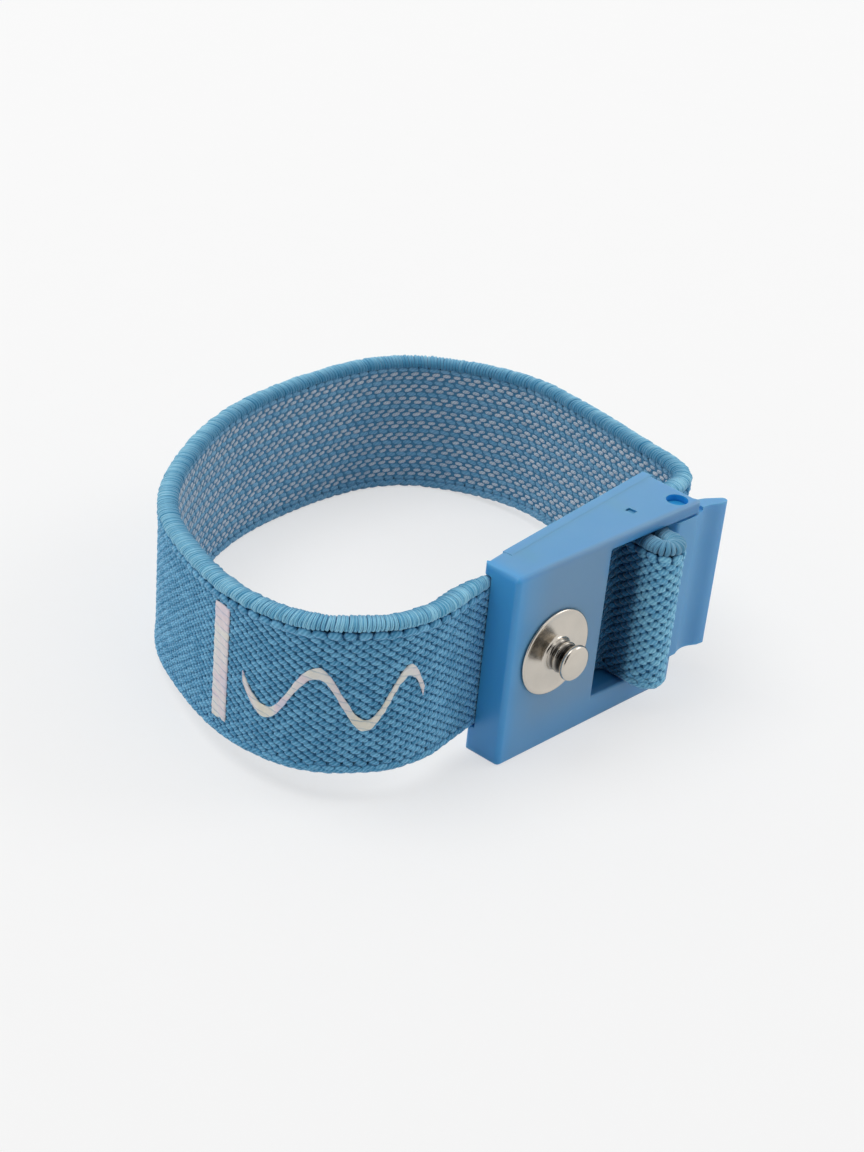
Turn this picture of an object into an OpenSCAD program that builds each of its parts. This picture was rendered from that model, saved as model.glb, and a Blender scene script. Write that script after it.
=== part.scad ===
// Adjustable anti-static wrist strap: elastic webbing, a wedge-shaped clasp with a
// cam lever, and a snap stud for an earthing lead. Millimetres.
// X runs along the clasp's front face, -Y is the way the stud points, +Z is up, and
// the origin is under the middle of the whole strap as it stands on a table.

/* [Clasp] */
// Length of the front face
clasp_l = 28.5; // [27.5:0.5:32]
// Thickness at the left end, over the back cover
left_t = 4.9; // [4.8:0.1:6]
// Angle between the back cover and the front face, in degrees
wedge = 7.2; // [6.6:0.2:9]
// Thickness of the front wall beside the window
front_wall = 1.2; // [1:0.1:1.3]
// Thickness of the front wall under the stud and the strap's fixed end
seat_wall = 2.1; // [2:0.1:2.2]
// Thickness of the solid block at the left end, in front of the strap
block_t = 3.7; // [3.5:0.1:3.8]
// Height of the rail over the strap
top_rail = 1.3; // [1.2:0.1:3]
// Height of the rail under the strap
bottom_rail = 3; // [2.6:0.1:4]
// Length of the solid front wall, from the left end to the window
window_x = 14.3; // [14.1:0.1:14.8]
// Radius of the clasp's upright edges
edge_r = 0.6; // [0.3:0.1:0.9]
// Radius of the round right end of the lower rail
knuckle_r = 1.9; // [1.8:0.1:2]

/* [Back cover] */
// Thickness of the back cover
cover_t = 1.2; // [1:0.05:1.25]
// Distance along the back from the clasp's left end to the cover
cover_from = 3.1; // [3:0.1:3.4]
// Length of the pegs that hold the cover in the rails
peg_l = 2; // [1.4:0.1:2.4]
// Width of a peg
peg_w = 1.4; // [1:0.1:2]
// Height of a peg
peg_h = 0.6; // [0.4:0.05:0.7]
// Length of the barbed peg at the upper right
barb_peg_l = 3.5; // [3:0.1:3.8]
// Length of the slit that shows that peg's barb
slit_l = 1.1; // [0.8:0.1:1.4]
// Width of that slit
slit_w = 0.8; // [0.6:0.05:1]
// How far the barb stands up in the slit
barb_h = 0.3; // [0.2:0.05:0.4]
// Distance from the stud to the left pegs
peg_left = 2.3; // [2:0.1:2.4]
// Distance from the window's edge to the right pegs
peg_right = 5.8; // [5:0.1:6.6]

/* [Skin plate] */
// Length of the steel plate that lies on the wrist
plate_l = 20; // [18:0.5:20.5]
// Height of the plate
plate_h = 16; // [12:0.5:18]
// Thickness of the plate
plate_t = 0.5; // [0.4:0.05:0.6]
// How deep the plate is let into the cover
plate_sink = 0.3; // [0.2:0.05:0.35]
// Corner radius of the plate
plate_r = 2; // [1:0.25:4]
// Width of a crimp tab on the plate
crimp_w = 1.6; // [1:0.1:2.5]
// Distance from the plate's rounded corner to a crimp tab
crimp_inset = 1; // [0.5:0.1:3]

/* [Lever and hinge] */
// Radius of the hinge pin
pin_r = 1.2; // [1:0.05:1.25]
// Distance from the clasp's right end to the hinge pin
pin_inset = 2; // [1.8:0.1:2.4]
// Depth of the hinge pin behind the front face
pin_y = 1.9; // [1.85:0.05:2.1]
// How deep the pin sits below the clasp's top
pin_recess = 0.7; // [0.3:0.05:0.8]
// Depth of the blind hole for the pin in the lower rail
pin_seat = 2; // [1:0.1:2.2]
// Distance from the hinge to the tip of the finger tab
tab_reach = 6.5; // [5.5:0.1:8]
// How far the tab's tip flares out past the front face
tab_flare = 0.3; // [0.1:0.05:0.6]
// Depth of the finger scoop in the tab
scoop = 0.45; // [0.2:0.05:0.55]
// Thickness of the tab
tab_t = 1.2; // [0.9:0.05:1.4]
// How far the tab stands over the slot, right of the clasp
tab_over = 0.4; // [0.2:0.05:0.5]
// Distance from the clasp's right end to that taller part
tab_clear = 0.9; // [0.7:0.1:1.5]
// Distance from the pin to the start of the scoop
scoop_from = 1.6; // [1.5:0.05:1.9]
// Radius of the tab's rounded tip
tip_r = 0.5; // [0.4:0.05:0.55]
// Radius of the lever's body round the pin
hub_r = 2.25; // [2.1:0.05:2.3]
// Distance from the pin to the rounding at the body's front corner
hub_front = 1.2; // [1.1:0.05:1.3]
// Radius of that rounding
hub_corner = 0.5; // [0.4:0.05:0.6]
// Gap between the closed cam and the strap
cam_gap = 0.25; // [0.2:0.05:0.5]

/* [Stud] */
// Distance from the clasp's left end to the stud
stud_x = 6.8; // [6.7:0.1:7.2]
// Height of the stud over the clasp's foot
stud_z = 11.8; // [9:0.1:13]
// Radius of the stud's flange
flange_r = 4.95; // [4:0.05:5.6]
// Thickness of the flange
flange_t = 0.35; // [0.25:0.05:0.6]
// Radius of the stud's head
head_r = 2; // [1.9:0.05:2.2]
// Length of the head's straight side
head_l = 0.8; // [0.6:0.05:1.2]
// Radius of the neck under the head
neck_r = 1.5; // [1.35:0.05:1.7]
// Radius of the beads round the neck
bead_r = 1.75; // [1.6:0.05:1.85]
// Height of the stud over the front face
stud_h = 3.3; // [3:0.05:4]
// Bevel between the flange and the collar at the stud's foot
foot_bevel = 0.25; // [0.15:0.05:0.4]
// Height of the collar over the front face
collar_h = 0.85; // [0.8:0.05:0.9]
// Height of the step from the collar down to the neck
collar_step = 0.2; // [0.1:0.05:0.25]
// Height of the bead's middle over the front face
bead_z = 1.45; // [1.4:0.05:1.55]
// Height of the cone under the head
head_cone = 0.45; // [0.3:0.05:0.5]
// Radius of the head's rounded edge
head_round = 0.3; // [0.2:0.05:0.3]
// Metal left between the rivet's bore and the stud's end
bore_end = 0.9; // [0.7:0.05:1.1]
// Radius of the rivet's shank
rivet_r = 1; // [0.8:0.05:1.1]
// Radius of the rivet's head
rivet_head_r = 2.2; // [1.8:0.05:2.4]
// Thickness of the rivet's head
rivet_head_t = 0.4; // [0.3:0.05:0.45]
// Outer radius of the washer on the strap
washer_r = 2.7; // [2.3:0.05:3]
// Thickness of the washer
washer_t = 0.4; // [0.3:0.05:0.45]
// Thickness of the contact spring
spring_t = 0.2; // [0.15:0.05:0.25]
// Height of the contact spring
spring_h = 4.5; // [4:0.1:6]
// Distance from the spring's tip to the window's edge
spring_inset = 1.6; // [1.4:0.1:2.2]
// Length of the spring's bent foot
spring_foot = 1.2; // [0.8:0.1:1.4]
// Rim of the spring round the rivet's head
spring_rim = 0.5; // [0.3:0.05:0.7]

/* [Strap] */
// Width of the strap over its edge cords
strap_w = 18; // [16:0.5:20]
// Thickness of the strap
strap_t = 2; // [1.8:0.1:2.1]
// Thickness of its outer, knitted face
face_t = 0.9; // [0.7:0.05:1]
// Thickness of the layer of rubber threads
core_t = 0.4; // [0.3:0.05:0.5]
// Width of an edge cord
cord_w = 2.3; // [2.1:0.05:2.35]
// Height of an edge cord
cord_h = 1.5; // [1.2:0.1:2]
// Width of the loop that the strap makes round the wrist, between its middle lines
ring_w = 62.3; // [56:1:72]
// Depth of that loop from the clasp's front face
ring_d = 54.6; // [50:1:64]
// Length of the strap's fixed end inside the clasp
fixed_l = 12; // [11:0.1:12.1]
// How thin the clasp presses the strap there, as a share of its thickness
press = 0.55; // [0.5:0.05:0.6]
// Distance from the clasp's left end to where the pressed strap lies flat on the wall
seat_from = 4; // [3.9:0.1:4.1]
// Length over which the strap outside regains its thickness
relax_l = 3; // [2:0.5:5]
// How far the ring's own ends reach into the clasp
joint_l = 0.6; // [0.5:0.05:0.8]

/* [Pulled-out loop] */
// Outer width of the loop that stands out of the window
loop_w = 4.7; // [4.7:0.05:5.2]
// How far the loop stands out past the front face
loop_out = 3.6; // [3:0.1:6]
// Gap between the loop and the lever
loop_gap = 0.6; // [0.5:0.05:0.8]
// Length of the tail that lies inside the window
tail_l = 4.3; // [3.8:0.1:4.4]
// Middle radius of the strap's bends inside the clasp
bend_r = 1.6; // [1.5:0.05:1.7]
// Gap between the tail and the front wall
tail_gap = 1.7; // [1.6:0.05:1.75]

/* [Pearl trim] */
// Thickness of the pearl film
film_t = 0.12; // [0.08:0.02:0.2]
// Width of the wavy line
wave_w = 1.3; // [0.8:0.1:2]
// Height of the wave from trough to crest, at its middle line
wave_h = 6; // [4:0.5:9]
// Width of the upright bar, along the strap
bar_w = 2.4; // [1.5:0.1:3]
// Height of the bar
bar_h = 13.5; // [8:0.5:14]

/* [Stitches] */
// Number of stitches across the strap's fixed end
stitches = 9; // [5:1:11]
// Length of a stitch
stitch_l = 1.1; // [0.7:0.1:1.2]
// Thickness of the thread
thread_d = 0.3; // [0.2:0.05:0.4]
// Distance from the row of stitches to the strap's cut end
seam_inset = 0.8; // [0.5:0.1:1]
// Distance from the row's first stitch to the strap's edge
seam_margin = 1; // [0.8:0.1:2]

/* [Hidden] */

// Clearances
play = 0.1;        // between pieces that are pushed together
touch = 0.08;      // between the strap and what it lies on
lever_gap = 0.25;  // between the lever and the rails
turn_fit = 0.05;   // radial, between the hinge pin and the lever
seat_fit = 0.02;   // radial, between the hinge pin and the rails
film_lift = 0.02;  // between the film and the knit
spring_room = 0.3; // between the contact spring and the rims of its window
rivet_room = 0.3;  // between the rivet's head and its pocket
eps = 0.01;        // overshoot of a cut
big = 60;          // longer than the clasp in any direction

// Middle of the whole object's footprint, from the clasp's front left corner
origin_x = 10.85;
origin_y = 26.1;

// Clasp
slot_h = strap_w + 2 * play;
slot_top = bottom_rail + slot_h;
clasp_h = slot_top + top_rail;
back_l = clasp_l / cos(wedge);
cover_lap = cover_t / cos(wedge);
strap_z = bottom_rail + play;
strap_mid = strap_z + strap_w / 2;

// Back cover and skin plate, measured along the inclined back face
pegs_x = [stud_x - peg_left, window_x + peg_right];
slit_x = pegs_x[1];
slit_back = cover_t + barb_peg_l + play;
barb_x = slit_x - slit_w / 2;
rail_mid = slot_top + top_rail / 2;
plate_x = (back_l - plate_l) / 2;
plate_z = strap_mid - plate_h / 2;
crimp_t = plate_t;
crimp_l = cover_t - plate_sink - play;

// Stud, rivet, washer and spring, stacked along Y behind the front face
cord_half = cord_w / 2;
fixed_y = seat_wall + touch + press * cord_half;
washer_y = fixed_y + press * strap_t / 2;
spring_y = washer_y + washer_t;
rivet_y = spring_y + spring_t;
bore_deep = stud_h - bore_end;
hole_r = rivet_r + turn_fit;
spring_flat = rivet_head_r + spring_rim;
spring_tip = window_x - spring_inset;
spring_window = [stud_x + rivet_head_r, spring_tip + 2 * spring_room];

// Lever
pin_x = clasp_l - pin_inset;
lever_z = bottom_rail + lever_gap;
lever_h = slot_h - 2 * lever_gap;
tip_x = pin_x + tab_reach;

// Strap
run_y = -cover_t - touch - cord_half;
exit_y = block_t + touch + press * cord_half;
fixed_tip = joint_l + play + fixed_l;
seat_end = fixed_tip + 6 * play;
lining_t = strap_t - face_t - core_t;
web_z = cord_h + touch;
leg_x = pin_x - hub_r - loop_gap - cord_half;
turn_r = (loop_w - cord_w) / 2;
tail_y = front_wall + tail_gap + cord_half;

// Outline of the strap round the wrist, as [across, deep] in percent of ring_w and
// ring_d. Across is measured from the clasp's middle.
WRIST = [[-36.5, 6.45], [-45, 8.9], [-53, 17.7], [-55.5, 32.5], [-52.5, 50], [-45, 69.5],
    [-31, 85], [-11.5, 96.5], [9.5, 100], [28, 97.5], [39.5, 87], [44.5, 69],
    [42.5, 50.5], [38.5, 31.5], [35.5, 18.5]];

// A point given along and behind the inclined back face, in the clasp's own frame
function on_back(s, d) =
    [s * cos(wedge) - d * sin(wedge), left_t + s * sin(wedge) + d * cos(wedge)];

// Straight stretch of the strap outside the right end of the clasp, the bow in which it
// leaves there, and its sway outside the left end
straight_l = 1;
exit_bow = [4.2, 0.9];
left_sway = [-3, -0.15];

run_start = on_back(back_l - joint_l, run_y);
run_exit = on_back(back_l + straight_l, run_y);
route = concat(
    [[joint_l, exit_y], [0, exit_y] + left_sway],
    [for (p = WRIST) [clasp_l / 2 + p[0] * ring_w / 100, p[1] * ring_d / 100]],
    [run_exit + exit_bow, run_exit, run_start]);

// Catmull-Rom curve through the route, with the given steps to a span
function spline(a, b, c, d, t) = 0.5 * (2 * b + (c - a) * t + (2 * a - 5 * b + 4 * c - d) * t * t
    + (3 * b - a - 3 * c + d) * t * t * t);
function curve(r, steps) =
    let (n = len(r), q = concat([2 * r[0] - r[1]], r, [2 * r[n - 1] - r[n - 2]]))
    concat([for (i = [0 : n - 2], k = [0 : steps - 1])
        spline(q[i], q[i + 1], q[i + 2], q[i + 3], k / steps)], [r[n - 1]]);
ring = curve(route, 4);

// Sideways direction at each point of a path, to the right of the way it runs
function side(path, i) =
    let (a = path[max(i - 1, 0)], b = path[min(i + 1, len(path) - 1)], v = (b - a) / norm(b - a))
    [v[1], -v[0]];

// The strap is held above the table by the clasp and comes down to it at the far side
lift_from = run_start[1];
lift_to = 0.86 * ring_d;
function lift(y) = strap_z * min(1, max(0, (lift_to - y) / (lift_to - lift_from)));

// An arc of points
function arc(c, r, a0, a1, n = 12) =
    [for (i = [0 : n]) let (a = a0 + (a1 - a0) * i / n) c + r * [cos(a), sin(a)]];

// The strap's way through the clasp: in along the cover, out of the window, round, and
// back in as a short tail behind the front wall
bend_out = [leg_x + bend_r, on_back((leg_x + bend_r) / cos(wedge), run_y)[1] - bend_r];
turn_c = [leg_x - turn_r, -loop_out + cord_half + turn_r];
bend_in = [leg_x - 2 * turn_r - bend_r, tail_y - bend_r];
loop_path = concat([on_back(back_l - joint_l - play, run_y)], arc(bend_out, bend_r, 90 + wedge, 180, 8),
    arc(turn_c, turn_r, 0, -180, 16), arc(bend_in, bend_r, 0, 90, 8),
    [bend_in + [-tail_l, bend_r]]);

// Closed outline of a strip of width w that follows a path
function strip(path, w) = concat(
    [for (i = [0 : len(path) - 1]) path[i] + side(path, i) * w / 2],
    [for (i = [len(path) - 1 : -1 : 0]) path[i] - side(path, i) * w / 2]);

// The strap's fixed end: an S from the block's back to the wall under the stud
fixed_path = concat(
    [for (t = [0 : 1 / 8 : 1]) [joint_l + play + (seat_from - joint_l - play) * t,
        fixed_y + (exit_y - fixed_y) * (1 + cos(180 * t)) / 2]],
    [[fixed_tip, fixed_y]]);

// Share of its thickness that the strap has at a point of its way: less where it leaves
// the clasp's left end
function pinch(p) = p[1] > ring_d / 4 || p[0] > window_x ? 1
    : 1 - (1 - press) * max(0, min(1, 1 + p[0] / relax_l));

// Sweeps a section of [sideways, up] points along a path, rising and falling with it.
// A rise, where given, is a further height at each point of the path.
module sweep(path, section, rise = []) {
    n = len(section);
    m = len(path);
    points = [for (i = [0 : m - 1], p = section)
        let (q = path[i] + side(path, i) * p[0] * pinch(path[i]), up = len(rise) > 0 ? rise[i] : 0)
        [q[0], q[1], lift(path[i][1]) + p[1] + up]];
    walls = [for (i = [0 : m - 2], k = [0 : n - 1])
        let (a = i * n + k, b = i * n + (k + 1) % n)
        each [[a, a + n, b + n], [a, b + n, b]]];
    first = [for (k = [0 : n - 1]) k];
    last = [for (k = [n - 1 : -1 : 0]) (m - 1) * n + k];
    polyhedron(points, concat([first], walls, [last]));
}

// A layer of the ring's webbing between two distances from its middle line; the
// inside of the ring is on the route's right
module layer(outer, inner) {
    sweep(ring, [[-outer, web_z], [-outer, strap_w - web_z], [inner, strap_w - web_z], [inner, web_z]]);
}

// Rounded section of an edge cord, with its lower side at z
function cord_section(z) = [for (i = [0 : 7])
    [-cord_half * cos(i * 45 + 22.5) / cos(22.5), z + cord_h / 2 * (1 + sin(i * 45 + 22.5) / sin(67.5))]];

// Moves the clasp's own frame to the frame of the whole part
module place() {
    translate([-origin_x, -origin_y, 0]) children();
}

// Puts its children in the frame of the inclined back face
module back_frame() {
    translate([0, left_t, 0]) rotate([0, 0, wedge]) children();
}

// An upright prism of height h from height z
module upright(z, h) {
    translate([0, 0, z]) linear_extrude(h) children();
}

// A straight round rod along Y, from y0 to y1, on the stud's axis
module along_y(r, y0, y1) {
    translate([stud_x, y0, stud_z]) rotate([-90, 0, 0]) cylinder(r = r, h = y1 - y0, $fn = 64);
}

// Rectangle with corners of radius r
function rounded(w, h, r) = concat(arc([r, r], r, 180, 270, 6), arc([w - r, r], r, 270, 360, 6),
    arc([w - r, h - r], r, 0, 90, 6), arc([r, h - r], r, 90, 180, 6));

// Plan of the clasp in front of the cover; left of the cover it reaches to the back
module housing_plan() {
    right_y = left_t - cover_lap + clasp_l * tan(wedge);
    step = cover_from - play;
    polygon(concat(arc([edge_r, edge_r], edge_r, 180, 270, 6),
        arc([clasp_l - edge_r, edge_r], edge_r, 270, 360, 6),
        [[clasp_l, right_y], on_back(step, -cover_t), on_back(step, 0)],
        arc([edge_r, left_t - edge_r], edge_r, 90, 180, 6)));
}

// Plan of the strap's passage: behind the block, over the wall under the stud and past
// the window, open at both ends and towards the cover
module passage_plan() {
    way = concat([[-straight_l, exit_y]], fixed_path);
    half = press * cord_half + touch;
    polygon(concat([for (i = [0 : len(way) - 1]) way[i] + side(way, i) * half],
        [[seat_end, seat_wall], [seat_end, front_wall], [big, front_wall], [big, big],
            [-straight_l, big]]));
}

// A peg of the cover at distance s, in the middle of a rail; grow widens it to its socket
module peg(s, z, l, grow) {
    translate([s - peg_w / 2 - grow, -cover_t - l - grow, z - peg_h / 2 - grow])
        cube([peg_w + 2 * grow, l + grow + eps, peg_h + 2 * grow]);
}

module pegs(grow) {
    for (s = pegs_x) {
        peg(s, bottom_rail / 2, peg_l, grow);
        peg(s, rail_mid, s == slit_x ? barb_peg_l : peg_l, grow);
    }
}

module clasp_housing() color([0.36, 0.53, 0.7]) place() difference() {
    upright(0, clasp_h) housing_plan();
    upright(bottom_rail, slot_h) passage_plan();
    // Window, open to the lever
    translate([window_x, -big / 2, bottom_rail]) cube([big, big, slot_h]);
    // Hole of the stud
    along_y(hole_r, -big / 2, big / 2);
    // Hinge: a through hole above and a blind one below
    translate([pin_x, pin_y, bottom_rail - pin_seat]) cylinder(r = pin_r + seat_fit, h = big, $fn = 64);
    // Round right end of the lower rail
    upright(-eps, bottom_rail + eps) difference() {
        translate([clasp_l - knuckle_r, -eps]) square(knuckle_r + eps);
        translate([clasp_l - knuckle_r, knuckle_r]) circle(r = knuckle_r, $fn = 64);
    }
    // Sockets of the cover's pegs
    back_frame() pegs(play);
    // Slit over the barb
    back_frame() translate([barb_x, -slit_back, rail_mid]) cube([slit_w, slit_l, top_rail]);
}

module back_cover() color([0.4, 0.6, 0.78]) place() difference() {
    back_frame() union() {
        difference() {
            translate([cover_from, -cover_t, 0]) cube([back_l - cover_from, cover_t, clasp_h]);
            // Seat of the skin plate and sockets of its crimp tabs
            translate([plate_x - play, -plate_sink, plate_z + plate_h + play]) rotate([-90, 0, 0])
                linear_extrude(1) polygon(rounded(plate_l + 2 * play, plate_h + 2 * play, plate_r + play));
            crimps(play);
            // Window through which the spring reaches the plate
            translate([spring_window[0], -big / 2, stud_z - spring_h / 2 - spring_room])
                cube([spring_window[1] - spring_window[0], big, spring_h + 2 * spring_room]);
        }
        pegs(0);
        // Barb of the peg under the slit
        translate([barb_x + play / 2, play - slit_back, rail_mid])
            cube([slit_w - play, slit_l - 2 * play, peg_h / 2 + barb_h / 2]);
    }
    // Pocket for the rivet's head
    along_y(rivet_head_r + rivet_room, -big / 2, rivet_y + rivet_head_t + 2 * play);
}

// Crimp tabs at the corners of the skin plate
module crimps(grow) {
    from = plate_r + crimp_inset;
    for (s = [plate_x + from, plate_x + plate_l - from - crimp_w],
         z = [plate_z, plate_z + plate_h - crimp_t])
        translate([s - grow, -plate_sink - crimp_l - grow, z - grow])
            cube([crimp_w + 2 * grow, crimp_l + grow + eps, crimp_t + 2 * grow]);
}

module skin_plate() color([0.75, 0.75, 0.76]) place() back_frame() union() {
    translate([plate_x, -plate_sink, plate_z + plate_h]) rotate([-90, 0, 0])
        linear_extrude(plate_t) polygon(rounded(plate_l, plate_h, plate_r));
    crimps(0);
}

// Plan of the lever: a body round the pin with a cam nose towards the strap, and a
// finger tab with a shallow scoop that flares out at its tip
module lever_plan() {
    pin = [pin_x, pin_y];
    pin_back = (pin_y - left_t) * cos(wedge) - pin_x * sin(wedge);
    cam_r = run_y - cord_half - pin_back - cam_gap;
    cam_a = 90 + wedge;
    scoop_x = pin_x + scoop_from;
    scoop_l = tip_x - tip_r - scoop_x;
    difference() {
        polygon(concat(
            // The tab's front: the scoop takes four fifths of it, the flare grows to the tip
            [for (t = [0 : 0.1 : 1])
                [scoop_x + scoop_l * t, scoop * sin(180 * min(1, t * 1.25)) - tab_flare * t * t]],
            arc([tip_x - tip_r, tip_r - tab_flare], tip_r, -90, 60, 6),
            [[(scoop_x + tip_x) / 2 + tip_r, scoop + tab_t], [pin_x + hub_r, pin_y + hub_corner]],
            arc(pin, cam_r, cam_a - 38, cam_a, 8),
            arc(pin, hub_r, cam_a + 22, 205, 8),
            arc([pin_x - hub_front, hub_corner], hub_corner, 200, 270, 4)));
        translate(pin) circle(r = pin_r + turn_fit, $fn = 64);
    }
}

module clamp_lever() color([0.33, 0.52, 0.72]) place() difference() {
    upright(lever_z, lever_h + tab_over) lever_plan();
    // Only the tab right of the clasp stands over the slot
    translate([clasp_l + tab_clear - big, -big / 2, lever_z + lever_h]) cube(big);
}

module hinge_pin() color([0.14, 0.5, 0.76]) place()
    translate([pin_x, pin_y, bottom_rail - pin_seat])
        cylinder(r = pin_r, h = clasp_h - pin_recess - bottom_rail + pin_seat, $fn = 64);

// Half section of the stud as [radius, height over the front face]
module stud_profile() {
    head_z = stud_h - head_round;
    polygon(concat([[0, 0], [flange_r, 0]],
        arc([flange_r - flange_t / 2, flange_t / 2], flange_t / 2, 0, 90, 4),
        [[bead_r + foot_bevel, flange_t], [bead_r, flange_t + foot_bevel]],
        [[bead_r, collar_h], [neck_r, collar_h + collar_step]],
        arc([neck_r, bead_z], bead_r - neck_r, -90, 90, 6),
        [[neck_r, head_z - head_l - head_cone], [head_r, head_z - head_l]],
        arc([head_r - head_round, head_z], head_round, 0, 90, 6),
        [[0, stud_h]]));
}

module snap_stud() color([0.72, 0.69, 0.65]) place() difference() {
    translate([stud_x, 0, stud_z]) rotate([90, 0, 0]) rotate_extrude($fn = 96) stud_profile();
    along_y(hole_r, -bore_deep, big / 2);
}

module stud_rivet() color([0.7, 0.68, 0.64]) place() union() {
    along_y(rivet_r, play - bore_deep, rivet_y + eps);
    along_y(rivet_head_r, rivet_y, rivet_y + rivet_head_t);
}

module rivet_washer() color([0.74, 0.73, 0.7]) place() difference() {
    along_y(washer_r, washer_y, washer_y + washer_t);
    along_y(hole_r, -big / 2, big / 2);
}

// Leaf spring under the rivet's head; its free end leans back onto the skin plate
module contact_spring() color([0.8, 0.7, 0.45]) place() difference() {
    flat_y = spring_y + spring_t / 2;
    plate_y = on_back(spring_tip / cos(wedge), -plate_sink)[1];
    tip = [spring_tip, plate_y - spring_t / 2 - touch];
    path = [[stud_x - spring_flat, flat_y], [stud_x + spring_flat, flat_y],
        tip - [spring_foot, spring_foot * tan(wedge)], tip];
    upright(stud_z - spring_h / 2, spring_h) polygon(strip(path, spring_t));
    along_y(hole_r, -big / 2, big / 2);
}

module strap_face() color([0.35, 0.6, 0.78]) place()
    layer(strap_t / 2, face_t - strap_t / 2);

module strap_core() color([0.85, 0.83, 0.75]) place()
    layer(strap_t / 2 - face_t, strap_t / 2 - lining_t);

module strap_lining() color([0.6, 0.66, 0.74]) place()
    layer(lining_t - strap_t / 2, strap_t / 2);

module strap_top_cord() color([0.5, 0.72, 0.86]) place()
    sweep(ring, cord_section(strap_w - cord_h));

module strap_bottom_cord() color([0.5, 0.72, 0.86]) place()
    sweep(ring, cord_section(0));

// The riveted end of the strap, inside the clasp
module strap_fixed_end() color([0.35, 0.6, 0.78]) place() difference() {
    upright(strap_z, strap_w) polygon(strip(fixed_path, press * strap_t));
    along_y(hole_r, -big / 2, big / 2);
}

module fixed_end_stitches() color([0.2, 0.42, 0.62]) place() {
    pitch = (strap_w - 2 * seam_margin) / stitches;
    first_z = strap_z + seam_margin + (pitch - stitch_l) / 2;
    for (i = [0 : stitches - 1])
        translate([fixed_tip - seam_inset, washer_y + thread_d / 2, first_z + pitch * i])
            cylinder(d = thread_d, h = stitch_l, $fn = 24);
}

module loop_web() color([0.38, 0.63, 0.8]) place()
    upright(strap_z + web_z, strap_w - 2 * web_z) polygon(strip(loop_path, strap_t));

module loop_top_cord() color([0.5, 0.72, 0.86]) place()
    upright(strap_z + strap_w - cord_h, cord_h) polygon(strip(loop_path, cord_w));

module loop_bottom_cord() color([0.5, 0.72, 0.86]) place()
    upright(strap_z, cord_h) polygon(strip(loop_path, cord_w));

// Film of height h on the outside of the strap; heights are those of its middle line
module film(path, heights, h) {
    inner = strap_t / 2 + film_lift;
    outer = inner + film_t;
    sweep(path, [[-outer, -h / 2], [-outer, h / 2], [-inner, h / 2], [-inner, -h / 2]], heights);
}

// A fine curve round the strap's near left side, for the trim to follow. The wave runs
// back from the clasp, and the bar stands beyond its end.
trim_steps = 12;
trim_path = curve([for (i = [1 : 8]) route[i]], trim_steps);
wave_from = trim_steps + 2;
wave_period = 16;
wave_count = 2;
bar_at = wave_from + wave_period * wave_count + 3;

module pearl_wave() color([0.93, 0.91, 0.92]) place() {
    last = wave_period * wave_count;
    film([for (i = [0 : last]) trim_path[wave_from + i]],
        [for (i = [0 : last]) strap_w / 2 + wave_h / 2 * sin(360 * i / wave_period)], wave_w);
}

module pearl_bar() color([0.95, 0.93, 0.9]) place() {
    a = trim_path[bar_at];
    b = trim_path[bar_at + 2];
    across = (b - a) / norm(b - a) * bar_w;
    film([a, a + across / 2, a + across], [for (i = [0 : 2]) strap_w / 2], bar_h);
}

clasp_housing();
back_cover();
skin_plate();
clamp_lever();
hinge_pin();
snap_stud();
stud_rivet();
rivet_washer();
contact_spring();
strap_face();
strap_core();
strap_lining();
strap_top_cord();
strap_bottom_cord();
strap_fixed_end();
fixed_end_stitches();
loop_web();
loop_top_cord();
loop_bottom_cord();
pearl_wave();
pearl_bar();
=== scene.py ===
"""Anti-static wrist strap: knitted elastic webbing, a wedge-shaped clasp with a cam lever, and a
snap stud. The pieces are dressed one after another round the fixed frame. Lengths are in metres,
and mm turns millimetres into them."""

import math

import bmesh
import bpy
from mathutils import Matrix, Vector, noise


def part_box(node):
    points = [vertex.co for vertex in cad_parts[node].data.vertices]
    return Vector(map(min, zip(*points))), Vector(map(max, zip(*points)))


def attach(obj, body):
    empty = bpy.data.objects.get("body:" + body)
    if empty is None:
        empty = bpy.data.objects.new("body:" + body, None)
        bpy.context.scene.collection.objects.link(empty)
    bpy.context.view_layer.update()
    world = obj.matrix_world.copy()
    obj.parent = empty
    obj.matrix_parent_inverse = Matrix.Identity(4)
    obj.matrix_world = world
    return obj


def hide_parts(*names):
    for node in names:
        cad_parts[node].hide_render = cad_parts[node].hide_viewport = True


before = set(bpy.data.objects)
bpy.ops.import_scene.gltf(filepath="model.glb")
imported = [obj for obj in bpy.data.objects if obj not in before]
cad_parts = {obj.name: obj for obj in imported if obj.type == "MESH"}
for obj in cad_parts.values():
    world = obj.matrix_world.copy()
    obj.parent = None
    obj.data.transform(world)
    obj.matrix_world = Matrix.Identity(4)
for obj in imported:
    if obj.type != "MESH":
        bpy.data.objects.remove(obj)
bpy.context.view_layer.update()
mm = 0.001
CLASP_BODY = "clasp_and_strap"
LEVER_BODY = "lever"

# --- Camera -------------------------------------------------------------------------------------
# The camera stands in front of the clasp's left end, looks down at 30 degrees and is rolled a
# little, so that the strap leans in the picture.
camera_at = Vector((-149.56, -143.24, 127.91)) * mm
camera_heading = Vector((0.7324, 0.6808, 0))
camera_pitch = math.radians(30.243)
camera_roll = math.radians(5.646)
picture_height = 1152
focal_pixels = 2127.7


def linked(name, data):
    """A new object in the scene."""
    thing = bpy.data.objects.new(name, data)
    bpy.context.scene.collection.objects.link(thing)
    return thing


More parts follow.
